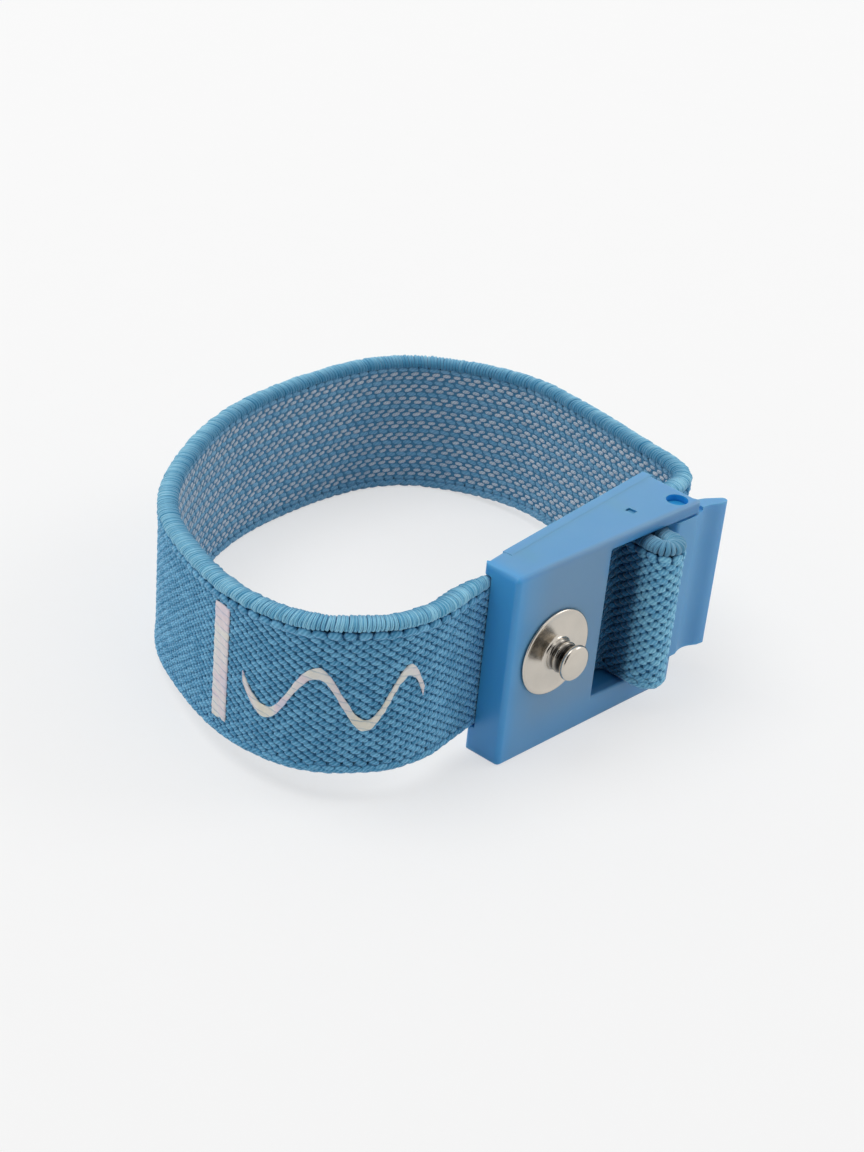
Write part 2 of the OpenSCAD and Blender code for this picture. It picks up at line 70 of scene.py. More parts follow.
forward = camera_heading.normalized() * math.cos(camera_pitch) - Vector((0, 0, math.sin(camera_pitch)))
level_right = forward.cross(Vector((0, 0, 1))).normalized()
level_up = level_right.cross(forward)
right = level_right * math.cos(camera_roll) + level_up * math.sin(camera_roll)
up = level_up * math.cos(camera_roll) - level_right * math.sin(camera_roll)
camera_data = bpy.data.cameras.new("camera")
camera_data.sensor_fit = "VERTICAL"
camera_data.sensor_height = 36
camera_data.lens = camera_data.sensor_height * focal_pixels / picture_height
camera_data.clip_start = 0.01
camera = linked("camera", camera_data)
camera.matrix_world = Matrix.Translation(camera_at) @ Matrix((right, up, -forward)).transposed().to_4x4()
bpy.context.scene.camera = camera
bpy.context.scene.view_settings.view_transform = "Standard"

# --- Light and floor ----------------------------------------------------------------------------
# A white room with one large soft lamp overhead and a weaker one at the right, over a pale floor
# that keeps a soft shadow. Most of what is seen of the floor is its plain backdrop colour. A
# black card behind the camera, which the camera doesn't see, is mirrored in the metal as dark
# streaks.
room_light = 0.6
backdrop_white = 0.98
backdrop_share = 0.6
floor_mottle = 0.01
lamps = [
    ("overhead", (-0.4, 0.6, 1.8), 1.3, 12.0),
    ("right", (1.5, -0.9, 1.2), 1.0, 6.0),
]


def material_nodes(name):
    """A new material with its node tree and its Principled shader."""
    material = bpy.data.materials.new(name)
    material.use_nodes = True
    tree = material.node_tree
    return material, tree, tree.nodes["Principled BSDF"]


def add(tree, kind, inputs=None, **settings):
    """A node with its settings, and its inputs by name or number, each a value or a socket."""
    node = tree.nodes.new(kind)
    for key, value in settings.items():
        setattr(node, key, value)
    for key, value in (inputs or {}).items():
        socket = node.inputs[key] if isinstance(key, int) else next(
            s for s in node.inputs if s.name == key and s.enabled)
        if isinstance(value, bpy.types.NodeSocket):
            tree.links.new(value, socket)
        else:
            socket.default_value = value
    return node


def ranged(tree, value, low=0.0, high=1.0, to_low=0.0, to_high=1.0, kind="LINEAR"):
    """A value taken from one range to another, and held at its ends."""
    return add(tree, "ShaderNodeMapRange", {"Value": value, "From Min": low, "From Max": high,
        "To Min": to_low, "To Max": to_high}, interpolation_type=kind).outputs["Result"]


def math_node(tree, operation, *values):
    """The result of a sum on one to three values or sockets."""
    return add(tree, "ShaderNodeMath", dict(enumerate(values)), operation=operation).outputs[0]


def seen_rays(tree):
    """One for a ray from the camera or one that metal or glass sends on, and else zero."""
    ray = add(tree, "ShaderNodeLightPath")
    sent_on = math_node(tree, "MAXIMUM", ray.outputs["Is Glossy Ray"], ray.outputs["Is Transmission Ray"])
    return math_node(tree, "MAXIMUM", ray.outputs["Is Camera Ray"], sent_on)


world = bpy.data.worlds.new("room")
bpy.context.scene.world = world
world.use_nodes = True
world_tree = world.node_tree
background = world_tree.nodes["Background"]
strength = ranged(world_tree, seen_rays(world_tree), to_low=room_light)
background.inputs["Color"].default_value = (1, 1, 1, 1)
world_tree.links.new(strength, background.inputs["Strength"])

for lamp_name, lamp_at, lamp_size, lamp_watts in lamps:
    lamp_data = bpy.data.lights.new(lamp_name, "AREA")
    lamp_data.shape = "DISK"
    lamp_data.size = lamp_size
    lamp_data.energy = lamp_watts
    lamp = linked(lamp_name, lamp_data)
    lamp.location = lamp_at
    lamp.rotation_euler = (-Vector(lamp_at)).to_track_quat("-Z", "Y").to_euler()

floor_half = 3
floor_mesh = bpy.data.meshes.new("floor")
floor_mesh.from_pydata(
    [(-floor_half, -floor_half, 0), (floor_half, -floor_half, 0), (floor_half, floor_half, 0),
     (-floor_half, floor_half, 0)], [], [(0, 1, 2, 3)])
floor = linked("floor", floor_mesh)
floor_paint, floor_tree, floor_shader = material_nodes("floor_paint")
floor_grain = add(floor_tree, "ShaderNodeTexNoise", {"Scale": 900.0, "Detail": 2.0})
floor_shade = ranged(floor_tree, floor_grain.outputs["Fac"], to_low=backdrop_white - floor_mottle,
    to_high=backdrop_white + floor_mottle)
floor_tree.links.new(floor_shade, floor_shader.inputs["Base Color"])
floor_shader.inputs["Roughness"].default_value = 0.9
floor_shader.inputs["Specular IOR Level"].default_value = 0.1
plain_backdrop = add(floor_tree, "ShaderNodeEmission",
    {"Color": (backdrop_white, backdrop_white, backdrop_white, 1)})
backdrop_part = math_node(floor_tree, "MULTIPLY", seen_rays(floor_tree), backdrop_share)
floor_look = add(floor_tree, "ShaderNodeMixShader",
    {0: backdrop_part, 1: floor_shader.outputs[0], 2: plain_backdrop.outputs[0]})
floor_tree.links.new(floor_look.outputs[0], floor_tree.nodes["Material Output"].inputs["Surface"])
floor_mesh.materials.append(floor_paint)

card_half_w = 0.14
card_half_h = 0.224
card_back = 0.12
card_dark = (0.01, 0.03)
card_mesh = bpy.data.meshes.new("camera_card")
card_at = camera_at - forward * card_back
card_mesh.from_pydata([card_at + right * across * card_half_w + up * high * card_half_h
    for across, high in ((-1, -1), (1, -1), (1, 1), (-1, 1))], [], [(0, 1, 2, 3)])
card = linked("camera_card", card_mesh)
card.visible_camera = False
card_paint, card_tree, card_shader = material_nodes("card_black")
card_nap = add(card_tree, "ShaderNodeTexNoise", {"Scale": 300.0})
card_shade = ranged(card_tree, card_nap.outputs["Fac"], to_low=card_dark[0], to_high=card_dark[1])
card_tree.links.new(card_shade, card_shader.inputs["Base Color"])
card_shader.inputs["Roughness"].default_value = 0.9
card_mesh.materials.append(card_paint)

# --- Clasp housing ------------------------------------------------------------------------------
# The front of the clasp: one wedge of slightly translucent blue plastic with a window for the
# strap, moulded with softly rounded edges and a satin skin.
housing_round = 0.42 * mm
small_face = 1.6 * mm
wedge = math.radians(7.2)
left_t = 4.9 * mm
cover_t = 1.2 * mm
play = 0.1 * mm
clasp_low, clasp_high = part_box("clasp_housing")


def blend(tree, factor, first, second):
    """A colour between two, each of them a socket or red, green and blue."""
    ends = [c if isinstance(c, bpy.types.NodeSocket) else (*c, 1) for c in (first, second)]
    return add(tree, "ShaderNodeMix", {"Factor": factor, "A": ends[0], "B": ends[1]},
        data_type="RGBA").outputs["Result"]


def noisy(tree, place, scale, detail=2.0, distortion=0.0):
    """Noise from 0 to 1 at a place."""
    return add(tree, "ShaderNodeTexNoise", {"Vector": place, "Scale": scale, "Detail": detail,
        "Distortion": distortion}).outputs["Fac"]


def embossed(tree, shader, height, strength, distance, invert=False):
    """Gives the shader relief from a height between 0 and 1, and a depth in metres."""
    bump = add(tree, "ShaderNodeBump", {"Strength": strength, "Distance": distance, "Height": height})
    bump.invert = invert
    tree.links.new(bump.outputs["Normal"], shader.inputs["Normal"])


def plastic(name, face, deep, roughness=0.42, painted_zones=()):
    """Satin moulded plastic that is a little deeper in colour towards the table, a painted shade. Each zone
    is a colour of painted light or shade, its share, and the places along some axes where it starts and where
    it is full."""
    material, tree, shader = material_nodes(name)
    place = add(tree, "ShaderNodeTexCoord").outputs["Object"]
    cloud = noisy(tree, place, 160.0, 3.0)
    axes = add(tree, "ShaderNodeSeparateXYZ", {"Vector": place}).outputs
    # Painted shade: the colour deepens towards the table.
    low = ranged(tree, axes["Z"], 0.0, 0.02, 0.35, 0.0)
    colour = blend(tree, math_node(tree, "MULTIPLY_ADD", cloud, 0.5, low), face, deep)
    for paint, full_share, spans in painted_zones:
        share = full_share
        for axis, none_at, full_at in spans:
            share = math_node(tree, "MULTIPLY", share,
                ranged(tree, axes[axis], none_at, full_at, kind="SMOOTHSTEP"))
        colour = blend(tree, share, colour, paint)
    tree.links.new(colour, shader.inputs["Base Color"])
    tree.links.new(ranged(tree, cloud, to_low=roughness - 0.05, to_high=roughness + 0.07),
        shader.inputs["Roughness"])
    embossed(tree, shader, noisy(tree, place, 5200.0), 0.12, 0.00003)
    shader.inputs["Subsurface Weight"].default_value = 0.35
    shader.inputs["Subsurface Radius"].default_value = (0.2, 0.6, 1.0)
    shader.inputs["Subsurface Scale"].default_value = 0.0022
    shader.inputs["Specular IOR Level"].default_value = 0.6
    return material


def new_piece(name, mesh, body, slot, *nodes):
    """Links a finished mesh as a piece that rides on a body and stands for CAD nodes."""
    piece = linked(name, mesh)
    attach(piece, body)
    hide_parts(*nodes)


def evaluated(thing, modifier):
    """The plain mesh that an object's modifier makes; the object itself is removed."""
    bpy.context.view_layer.update()
    graph = bpy.context.evaluated_depsgraph_get()
    mesh = bpy.data.meshes.new_from_object(thing.evaluated_get(graph))
    mesh.name = thing.name
    thing.modifiers.remove(modifier)
    bpy.data.objects.remove(thing)
    return mesh


def meshed(bm, name, material, sharp_angle=180):
    """A smooth mesh out of a finished bmesh, with sharp edges from an angle in degrees on."""
    mesh = bpy.data.meshes.new(name)
    bm.to_mesh(mesh)
    bm.free()
    mesh.materials.clear()
    mesh.materials.append(material)
    for face in mesh.polygons:
        face.use_smooth = True
        face.material_index = 0
    if sharp_angle < 180:
        mesh.set_sharp_from_angle(angle=math.radians(sharp_angle))
    return mesh


def softened(node, radius, material, shortest=0.0, steps=3, rounder=None, crisp=None, clamp=True):
    """A copy of a CAD node's mesh with its sharp edges rounded, but for those of small features.
    Rounder gives a radius and a test for edges that get that radius instead, and crisp is a test
    for edges that stay sharp."""
    bm = bmesh.new()
    bm.from_mesh(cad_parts[node].data)
    bmesh.ops.remove_doubles(bm, verts=bm.verts, dist=2e-6)
    bmesh.ops.dissolve_limit(bm, angle_limit=math.radians(0.6), verts=bm.verts, edges=bm.edges)
    sharp = [e for e in bm.edges if len(e.link_faces) == 2
        and e.calc_face_angle(0) > math.radians(28) and not (crisp and crisp(e))
        and all(f.calc_area() > shortest * shortest for f in e.link_faces)]
    chosen = [e for e in sharp if rounder and rounder[1](e)]
    rounds = [([e for e in sharp if e not in chosen], radius, steps)]
    if chosen:
        rounds.insert(0, (chosen, rounder[0], steps + 2))
    for edges, offset, segments in rounds:
        bmesh.ops.bevel(bm, geom=[e for e in edges if e.is_valid], offset=offset, segments=segments,
            profile=0.5, affect="EDGES", clamp_overlap=clamp, loop_slide=True)
    thing = linked(node + "_moulded", meshed(bm, node + "_moulded", material, 40))
    even = thing.modifiers.new("even", "WEIGHTED_NORMAL")
    even.weight = 100
    even.keep_sharp = True
    return evaluated(thing, even)


edge_round = 0.58 * mm
corner_reach = 0.66 * mm
cover_joint = (-cover_t - 0.15 * mm, -cover_t + 0.2 * mm)
window_x = clasp_low.x + 12.6 * mm
over_window = clasp_high.z - 3.6 * mm


def behind(p):
    """How far a point lies behind the clasp's inclined back face."""
    return (p.y - clasp_low.y - left_t) * math.cos(wedge) - (p.x - clasp_low.x) * math.sin(wedge)


hinge = sum(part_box("hinge_pin"), Vector()) / 2
hole_r = 1.4 * mm
touch_of_colour = 0.05 * mm


def within(middle, half, axis):
    """The two ends of a band of colour along an axis."""
    return [(axis, middle + side * half, middle + side * (half - touch_of_colour)) for side in (-1, 1)]


def under_top(start, full):
    """A colour that starts and is full at two depths under the top face, in millimetres."""
    return "Z", clasp_high.z - start * mm, clasp_high.z - full * mm


def from_left(start, full):
    """A colour that starts and is full at two distances from the left end, in millimetres."""
    return "X", clasp_low.x + start * mm, clasp_low.x + full * mm


def on_top(edge):
    """Whether an edge runs along the rim of the top face, at the left end or the front."""
    return all(v.co.z > clasp_high.z - 0.02 * mm
        and min(v.co.x - clasp_low.x, v.co.y - clasp_low.y) < corner_reach for v in edge.verts)


def at_cover_joint(edge):
    """Whether an edge runs along the joint with the back cover."""
    return all(cover_joint[0] < behind(v.co) < cover_joint[1] for v in edge.verts)


slit_s = 20.1 * mm
slit_d = -4.25 * mm
slit_at = (clasp_low.x + slit_s * math.cos(wedge) - slit_d * math.sin(wedge),
    clasp_low.y + left_t + slit_s * math.sin(wedge) + slit_d * math.cos(wedge))
# Painted shade in the slit: deeper blue on its walls and on what lies below the top face there.
slit_painted_shade = ((0.05, 0.29, 0.58), 0.9,
    [*within(slit_at[0], 0.6 * mm, "X"), *within(slit_at[1], 0.75 * mm, "Y"), under_top(0.01, 0.04)])
front_painted_span = ("Y", clasp_low.y + 0.9 * mm, clasp_low.y + 0.2 * mm)
# Painted light and shade, one zone each: a greyer painted reflection on the front, painted shade over the
# window, at the left end and inside, painted light in the hinge hole, and painted shade in the slit
housing_painted_zones = [
    ((0.14, 0.31, 0.51), 1.0, [front_painted_span, from_left(0.8, 6), ("Z", 0.8 * mm, 6 * mm)]),
    ((0.03, 0.25, 0.55), 0.9, [front_painted_span, ("X", window_x, window_x + 3 * mm),
        ("Z", over_window - 1 * mm, over_window), under_top(-0.3, 1.2)]),
    ((0.05, 0.36, 0.74), 0.85, [from_left(2.2, 0)]),
    ((0.03, 0.26, 0.56), 0.8, [("Y", clasp_low.y + 0.8 * mm, clasp_low.y + 1.4 * mm),
        under_top(0.02, 0.12), from_left(2, 3)]),
    ((0.02, 0.36, 0.75), 1.0, [under_top(0.02, 0.06),
        *within(hinge.x, hole_r, "X"), *within(hinge.y, hole_r, "Y")]),
    slit_painted_shade,
]
housing_plastic = plastic("clasp_plastic", (0.12, 0.37, 0.66), (0.07, 0.30, 0.60), painted_zones=housing_painted_zones)
new_piece("moulded_housing",
    softened("clasp_housing", housing_round, housing_plastic, shortest=small_face, clamp=False,
        crisp=at_cover_joint, rounder=(edge_round, on_top)),
    CLASP_BODY, "clasp_plastic", "clasp_housing")

# --- Back cover ---------------------------------------------------------------------------------
# The thin inclined cover on the wrist side, which is snapped into the rails by four pegs.
# The slit's painted shade lies on the cover's barb too.
cover_plastic = plastic("cover_plastic", (0.12, 0.37, 0.66), (0.07, 0.30, 0.60), painted_zones=[slit_painted_shade])
new_piece("moulded_cover", softened("back_cover", 0.2 * mm, cover_plastic, shortest=small_face),
    CLASP_BODY, "cover_plastic", "back_cover")

# --- Clamp lever --------------------------------------------------------------------------------
# The cam lever that clamps the strap: a body round the pin and a finger tab with a shallow
# scoop, in the same plastic as the housing.
lever_plastic = plastic("lever_plastic", (0.12, 0.38, 0.68), (0.06, 0.31, 0.62))
new_piece("moulded_lever", softened("clamp_lever", 0.2 * mm, lever_plastic),
    LEVER_BODY, "lever_plastic", "clamp_lever")

# --- Hinge pin ----------------------------------------------------------------------------------
# A plain plastic pin, pressed into the rails. Its round end is seen in the hole in the top rail.
pin_plastic = plastic("pin_plastic", (0.02, 0.36, 0.75), (0.02, 0.30, 0.66))
new_piece("turned_pin", softened("hinge_pin", 0.15 * mm, pin_plastic),
    CLASP_BODY, "pin_plastic", "hinge_pin")

# --- Skin plate ---------------------------------------------------------------------------------
# The stainless plate that touches the wrist, brushed along its length and let into the cover.


def colour_ramp(tree, value, stops):
    """A colour that runs through the stops, each a position from 0 to 1 with its colour."""
    node = add(tree, "ShaderNodeValToRGB", {"Fac": value})
    ramp = node.color_ramp.elements
    while len(ramp) < len(stops):
        ramp.new(0.5)
    for element, (position, colour) in zip(ramp, stops):
        element.position = position
        element.color = (*colour, 1)
    return node.outputs["Color"]


def metal(name, colour, roughness, brushed=(1.0, 1.0, 1.0), streaks=0.3, grooves=None):
    """Metal with fine streaks; brushed stretches them along one axis. Grooves lists the places
    along Y, each with its share of painted shade."""
    material, tree, shader = material_nodes(name)
    place = add(tree, "ShaderNodeTexCoord").outputs["Object"]
    stretch = add(tree, "ShaderNodeMapping", {"Vector": place, "Scale": brushed}).outputs[0]
    grain = noisy(tree, stretch, 3000.0, 4.0)
    tree.links.new(math_node(tree, "MULTIPLY_ADD", grain, streaks * 0.4, roughness),
        shader.inputs["Roughness"])
    tint = blend(tree, noisy(tree, place, 500.0), colour, [c * 0.86 for c in colour])
    if grooves:
        axes = add(tree, "ShaderNodeSeparateXYZ", {"Vector": place})
        first, last = grooves[-1][0], grooves[0][0]
        # Painted shade: near black at the places that grooves lists, where shade falls.
        groove_shade = colour_ramp(tree, ranged(tree, axes.outputs["Y"], first, last),
            [((y - first) / (last - first), (dark, dark, dark)) for y, dark in reversed(grooves)])
        tint = blend(tree, groove_shade, tint, (0.035, 0.033, 0.03))
    tree.links.new(tint, shader.inputs["Base Color"])
    embossed(tree, shader, grain, streaks, 0.000008)
    shader.inputs["Metallic"].default_value = 1.0
    return material


plate_steel = metal("plate_steel", (0.62, 0.62, 0.63), 0.24, brushed=(0.04, 0.3, 1.0), streaks=0.5)
new_piece("pressed_plate", softened("skin_plate", 0.08 * mm, plate_steel),
    CLASP_BODY, "plate_steel", "skin_plate")

# --- Snap stud ----------------------------------------------------------------------------------
# The turned and nickel-plated stud of a 4 mm snap, with a rolled flange against the clasp's
# front, a collar, a beaded neck and a flat head with a rounded edge.
stud_x = 6.8 * mm
stud_z = 11.8 * mm
stud_at = Vector((clasp_low.x + stud_x, clasp_low.y, stud_z))
# Half section as (radius, height over the front face), millimetres
stud_profile = [(0, 0), (4.72, 0), (4.86, 0.06), (4.92, 0.17), (4.88, 0.29), (4.76, 0.36), (4.6, 0.35),
    (4.46, 0.29), (4.25, 0.27), (2.2, 0.3), (1.98, 0.35), (1.8, 0.5), (1.76, 0.66), (1.74, 0.82),
    (1.62, 0.93), (1.48, 1.02), (1.46, 1.12), (1.5, 1.2), (1.64, 1.26), (1.74, 1.36), (1.76, 1.46),
    (1.74, 1.56), (1.64, 1.66), (1.5, 1.72), (1.46, 1.84), (1.46, 2.1), (1.5, 2.2), (1.86, 2.5),
    (1.96, 2.56), (2.0, 2.66), (2.0, 2.88), (1.97, 3.0), (1.9, 3.1), (1.78, 3.18), (1.6, 3.24), (1.3, 3.28),
    (0, 3.3)]


def turned(name, profile, foot, material, turns=72):
    """A mesh lathed from a half section, standing out from foot along -Y."""
    bm = bmesh.new()
    rings = []
    for radius, height in profile:
        angles = [2 * math.pi * k / turns for k in range(turns if radius else 1)]
        rings.append([bm.verts.new(foot + Vector((radius * math.cos(a), -height, radius * math.sin(a))) * mm)
            for a in angles])
    for lower, upper in zip(rings, rings[1:]):
        for k in range(turns):
            quad = [lower[k % len(lower)], lower[(k + 1) % len(lower)],
                upper[(k + 1) % len(upper)], upper[k % len(upper)]]
            corners = list(dict.fromkeys(quad))
            bm.faces.new(corners)
    bmesh.ops.recalc_face_normals(bm, faces=bm.faces)
    return meshed(bm, name, material, 50)


# Depth of painted shade by height over the front face, millimetres: at the flange's foot, in the groove and
# under the head
painted_shade_depths = [(0.0, 0.8), (0.12, 0.1), (0.3, 0.0), (0.8, 0.3), (1.0, 1.0), (1.2, 0.5), (1.4, 0.0), (1.56, 0.4),
    (1.72, 1.0), (2.3, 1.0), (2.52, 0.7), (2.64, 0.1), (3.3, 0.0)]
stud_nickel = metal("stud_nickel", (0.65, 0.60, 0.53), 0.17, streaks=0.25,
    grooves=[(clasp_low.y - height * mm, dark) for height, dark in painted_shade_depths])
new_piece("turned_stud", turned("turned_stud", stud_profile, stud_at, stud_nickel),
    CLASP_BODY, "stud_nickel", "snap_stud")

# --- Rivet, washer and contact spring -----------------------------------------------------------
# Inside the clasp a rivet holds stud, strap and washer together, and a bronze leaf spring leads
# from its head to the skin plate. They stay as they are in the frame, in bare metal.
rivet_nickel = metal("rivet_nickel", (0.6, 0.58, 0.54), 0.3)
spring_bronze = metal("spring_bronze", (0.72, 0.52, 0.26), 0.28, brushed=(0.1, 1.0, 1.0))
for inner_node, inner_metal in [("stud_rivet", rivet_nickel), ("rivet_washer", rivet_nickel),
        ("contact_spring", spring_bronze)]:
    inner_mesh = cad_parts[inner_node].data
    inner_mesh.materials.clear()
    inner_mesh.materials.append(inner_metal)

# --- The strap's way ----------------------------------------------------------------------------
# The strap leaves the clasp's left end, pressed thin behind the end block, runs round the wrist
# and comes back in at the right end. The clasp holds it above the table, and it comes down to the
# table at the far side.
front_wall = 1.2 * mm
seat_wall = 2.1 * mm
block_t = 3.7 * mm
bottom_rail = 3.0 * mm
touch = 0.08 * mm
strap_w = 18 * mm
strap_t = 2 * mm
cord_w = 2.3 * mm
cord_h = 1.5 * mm
joint_l = 0.6 * mm
fixed_l = 12 * mm
seat_from = 4 * mm
press = 0.55
relax_l = 3 * mm
ring_w = 62.3 * mm
ring_d = 54.6 * mm
straight_l = 1 * mm
exit_bow = (4.2 * mm, 0.9 * mm)
left_sway = (-3 * mm, -0.15 * mm)
WRIST = [(-36.5, 6.45), (-45, 8.9), (-53, 17.7), (-55.5, 32.5), (-52.5, 50), (-45, 69.5), (-31, 85),
    (-11.5, 96.5), (9.5, 100), (28, 97.5), (39.5, 87), (44.5, 69), (42.5, 50.5), (38.5, 31.5),
    (35.5, 18.5)]  # across and deep, in percent of ring_w and ring_d

clasp_l = clasp_high.x - clasp_low.x
back_l = clasp_l / math.cos(wedge)
strap_z = bottom_rail + play
fixed_y = seat_wall + touch + press * cord_w / 2
exit_y = block_t + touch + press * cord_w / 2
fixed_tip = joint_l + play + fixed_l
run_y = -cover_t - touch - cord_w / 2


def on_back(s, d):
    """A point given along and behind the inclined back face, in the clasp's own plan."""
    return (s * math.cos(wedge) - d * math.sin(wedge), left_t + s * math.sin(wedge) + d * math.cos(wedge))


run_start = on_back(back_l - joint_l, run_y)
run_exit = on_back(back_l + straight_l, run_y)
route = [(joint_l, exit_y), (left_sway[0], exit_y + left_sway[1])]
route += [(clasp_l / 2 + across * ring_w / 100, deep * ring_d / 100) for across, deep in WRIST]
route += [(run_exit[0] + exit_bow[0], run_exit[1] + exit_bow[1]), run_exit, run_start]


def smooth_way(points, steps):
    """Catmull-Rom curve through points in plan."""
    ends = [tuple(2 * a - b for a, b in zip(points[0], points[1]))] + list(points)
    ends.append(tuple(2 * a - b for a, b in zip(points[-1], points[-2])))
    way = []
    for a, b, c, d in zip(ends, ends[1:], ends[2:], ends[3:]):
        for t in (k / steps for k in range(steps)):
            way.append(tuple(0.5 * (2 * q + (r - p) * t + (2 * p - 5 * q + 4 * r - s) * t * t
                + (3 * q - p - 3 * r + s) * t ** 3) for p, q, r, s in zip(a, b, c, d)))
    return way + [points[-1]]


def lifted(way, level=False):
    """A plan path as points in the frame, at the height of the strap's lower edge."""
    far = 0.86 * ring_d
    points = []
    for x, y in way:
        rise = 1 if level else min(1, max(0, (far - y) / (far - run_start[1])))
        points.append(Vector((clasp_low.x + x, clasp_low.y + y, strap_z * rise)))
    return points


ring_steps = 12
ring = lifted(smooth_way(route, ring_steps))


def inward(path, i):
    """Level direction to the right of the way a path runs, which is the side of the wrist."""
    ahead = path[min(i + 1, len(path) - 1)] - path[max(i - 1, 0)]
    return Vector((ahead.y, -ahead.x, 0)).normalized()


def squeezed(p):
    """Share of its thickness that the strap has at a point: less in and just outside the clasp's
    left end."""
    x = p.x - clasp_low.x
    if p.y - clasp_low.y > ring_d / 4 or x > fixed_tip + play:
        return 1.0
    return 1 - (1 - press) * min(1, max(0, 1 + x / relax_l))


def swept(name, path, section, material, smooth=True):
    """Sweeps a closed section of (inward, up) points along a path, with its ends closed. The
    attribute lay holds each point's distance along the path and its height in the section."""
    n = len(section)
    points = []
    lay = []
    run = 0
    for i, p in enumerate(path):
        run += (p - path[i - 1]).length if i else 0
        aside = inward(path, i)
        for across, high in section:
            points.append(p + aside * across * squeezed(p) + Vector((0, 0, high)))
            lay.append((run, high, across))
    faces = []
    for i in range(len(path) - 1):
        for k in range(n):
            faces.append((i * n + k, i * n + (k + 1) % n, (i + 1) * n + (k + 1) % n, (i + 1) * n + k))
    last = (len(path) - 1) * n
    faces.append(tuple(reversed(range(n))))
    faces.append(tuple(range(last, last + n)))
    mesh = bpy.data.meshes.new(name)
    mesh.from_pydata(points, [], faces)
    bm = bmesh.new()
    bm.from_mesh(mesh)
    bmesh.ops.recalc_face_normals(bm, faces=bm.faces)
    bm.to_mesh(mesh)
    bm.free()
    mesh.attributes.new("lay", "FLOAT_VECTOR", "POINT").data.foreach_set(
        "vector", [c for v in lay for c in v])
    mesh.materials.append(material)
    for face in mesh.polygons:
        face.use_smooth = smooth and len(face.vertices) == 4
    return mesh


# --- Outer face of the strap --------------------------------------------------------------------
# The knitted face: short leaf-shaped stitches of bulked yarn in staggered rows along the strap,
# over a dark ground that shows in the gaps, dark partly in painted shade, with a scalloped row next to each
# edge cord.
stitch_pitch = 1.33 * mm
row_pitch = 0.475 * mm
stitch_size = (1.16 * mm, 0.66 * mm, 0.5 * mm)
stitch_tilt = math.radians(-8)
stitch_zigzag = math.radians(7)
stitch_sides = 6
stitch_rings = 5
face_web = strap_w - 2 * cord_h


def vector_node(tree, operation, *values):
    """The result of a vector operation on values or sockets."""
    node = add(tree, "ShaderNodeVectorMath", operation=operation)
    for i, value in enumerate(values):
        socket = node.inputs["Scale"] if operation == "SCALE" and i == 1 else node.inputs[i]
        if isinstance(value, bpy.types.NodeSocket):
            tree.links.new(value, socket)
        else:
            socket.default_value = value
    return node.outputs[0]


def yarn(name, light, dark, gap, filaments=4.0, twist=0.5, plies=(1.4, -0.7), ends=0.75, deep=0.55,
        deep_range=(0.75, 0.1), sheen=0.25, metallic=0.0, inside=None):
    """Twisted yarn: the attribute grain is the place in a stitch, from -1 to 1, and the attribute shade, a
    random tone, differs from stitch to stitch. The gap colour is a painted shade on its ends, and on the
    range of its own height that deep_range gives. Inside gives the colour of a painted shade and where it
    starts and is full on Y."""
    material, tree, shader = material_nodes(name)
    grain = add(tree, "ShaderNodeAttribute", attribute_name="grain").outputs["Vector"]
    shade = add(tree, "ShaderNodeAttribute", attribute_name="shade").outputs["Fac"]
    place = add(tree, "ShaderNodeTexCoord").outputs["Object"]
    turned_grain = add(tree, "ShaderNodeMapping", {"Vector": grain, "Rotation": (0.0, 0.0, twist)})
    along = add(tree, "ShaderNodeMapping",
        {"Vector": turned_grain.outputs[0], "Scale": (0.8, filaments, filaments)}).outputs[0]
    offset = add(tree, "ShaderNodeCombineXYZ", {"X": shade, "Y": shade, "Z": shade}).outputs[0]
    fibre = noisy(tree, vector_node(tree, "MULTIPLY_ADD", offset, (37.0, 51.0, 23.0), along), 1.0, 3.0)
    slant = add(tree, "ShaderNodeVectorMath",
        {0: grain, 1: (2 * math.pi * plies[0], 2 * math.pi * plies[1], 0.0)}, operation="DOT_PRODUCT")
    ply = math_node(tree, "COSINE", math_node(tree, "MULTIPLY_ADD", shade, 40.0, slant.outputs["Value"]))
    lightness = 0.1
    for part, weight in ((shade, 0.35), (fibre, 0.45), (noisy(tree, place, 260.0), 0.15), (ply, 0.2)):
        lightness = math_node(tree, "MULTIPLY_ADD", part, weight, lightness)
    lightness = ranged(tree, lightness, 0.3, 0.85)
    axes = add(tree, "ShaderNodeSeparateXYZ", {"Vector": grain}).outputs
    # Painted shade: the gap colour darkens each stitch's ends and its deep side, where the stitches shade
    # each other.
    end_shade = ranged(tree, math_node(tree, "ABSOLUTE", axes["X"]), 0.72, 1.0, to_high=ends)
    deep_shade = ranged(tree, axes["Z"], *deep_range, to_high=deep)
    final = blend(tree, math_node(tree, "MAXIMUM", end_shade, deep_shade), blend(tree, lightness, dark, light), gap)
    if inside:
        paint, shade_starts, shade_is_full = inside
        y = add(tree, "ShaderNodeSeparateXYZ", {"Vector": place}).outputs["Y"]
        final = blend(tree, ranged(tree, y, shade_starts, shade_is_full, kind="SMOOTHSTEP"), final,
            blend(tree, lightness, [c * 0.5 for c in paint], paint))
    tree.links.new(final, shader.inputs["Base Color"])
    embossed(tree, shader, math_node(tree, "MULTIPLY_ADD", ply, 0.4, fibre), 0.6, 0.00006)
    shader.inputs["Roughness"].default_value = 0.75
    shader.inputs["Sheen Weight"].default_value = sheen
    shader.inputs["Metallic"].default_value = metallic
    shader.inputs["Specular IOR Level"].default_value = 0.25
    return material


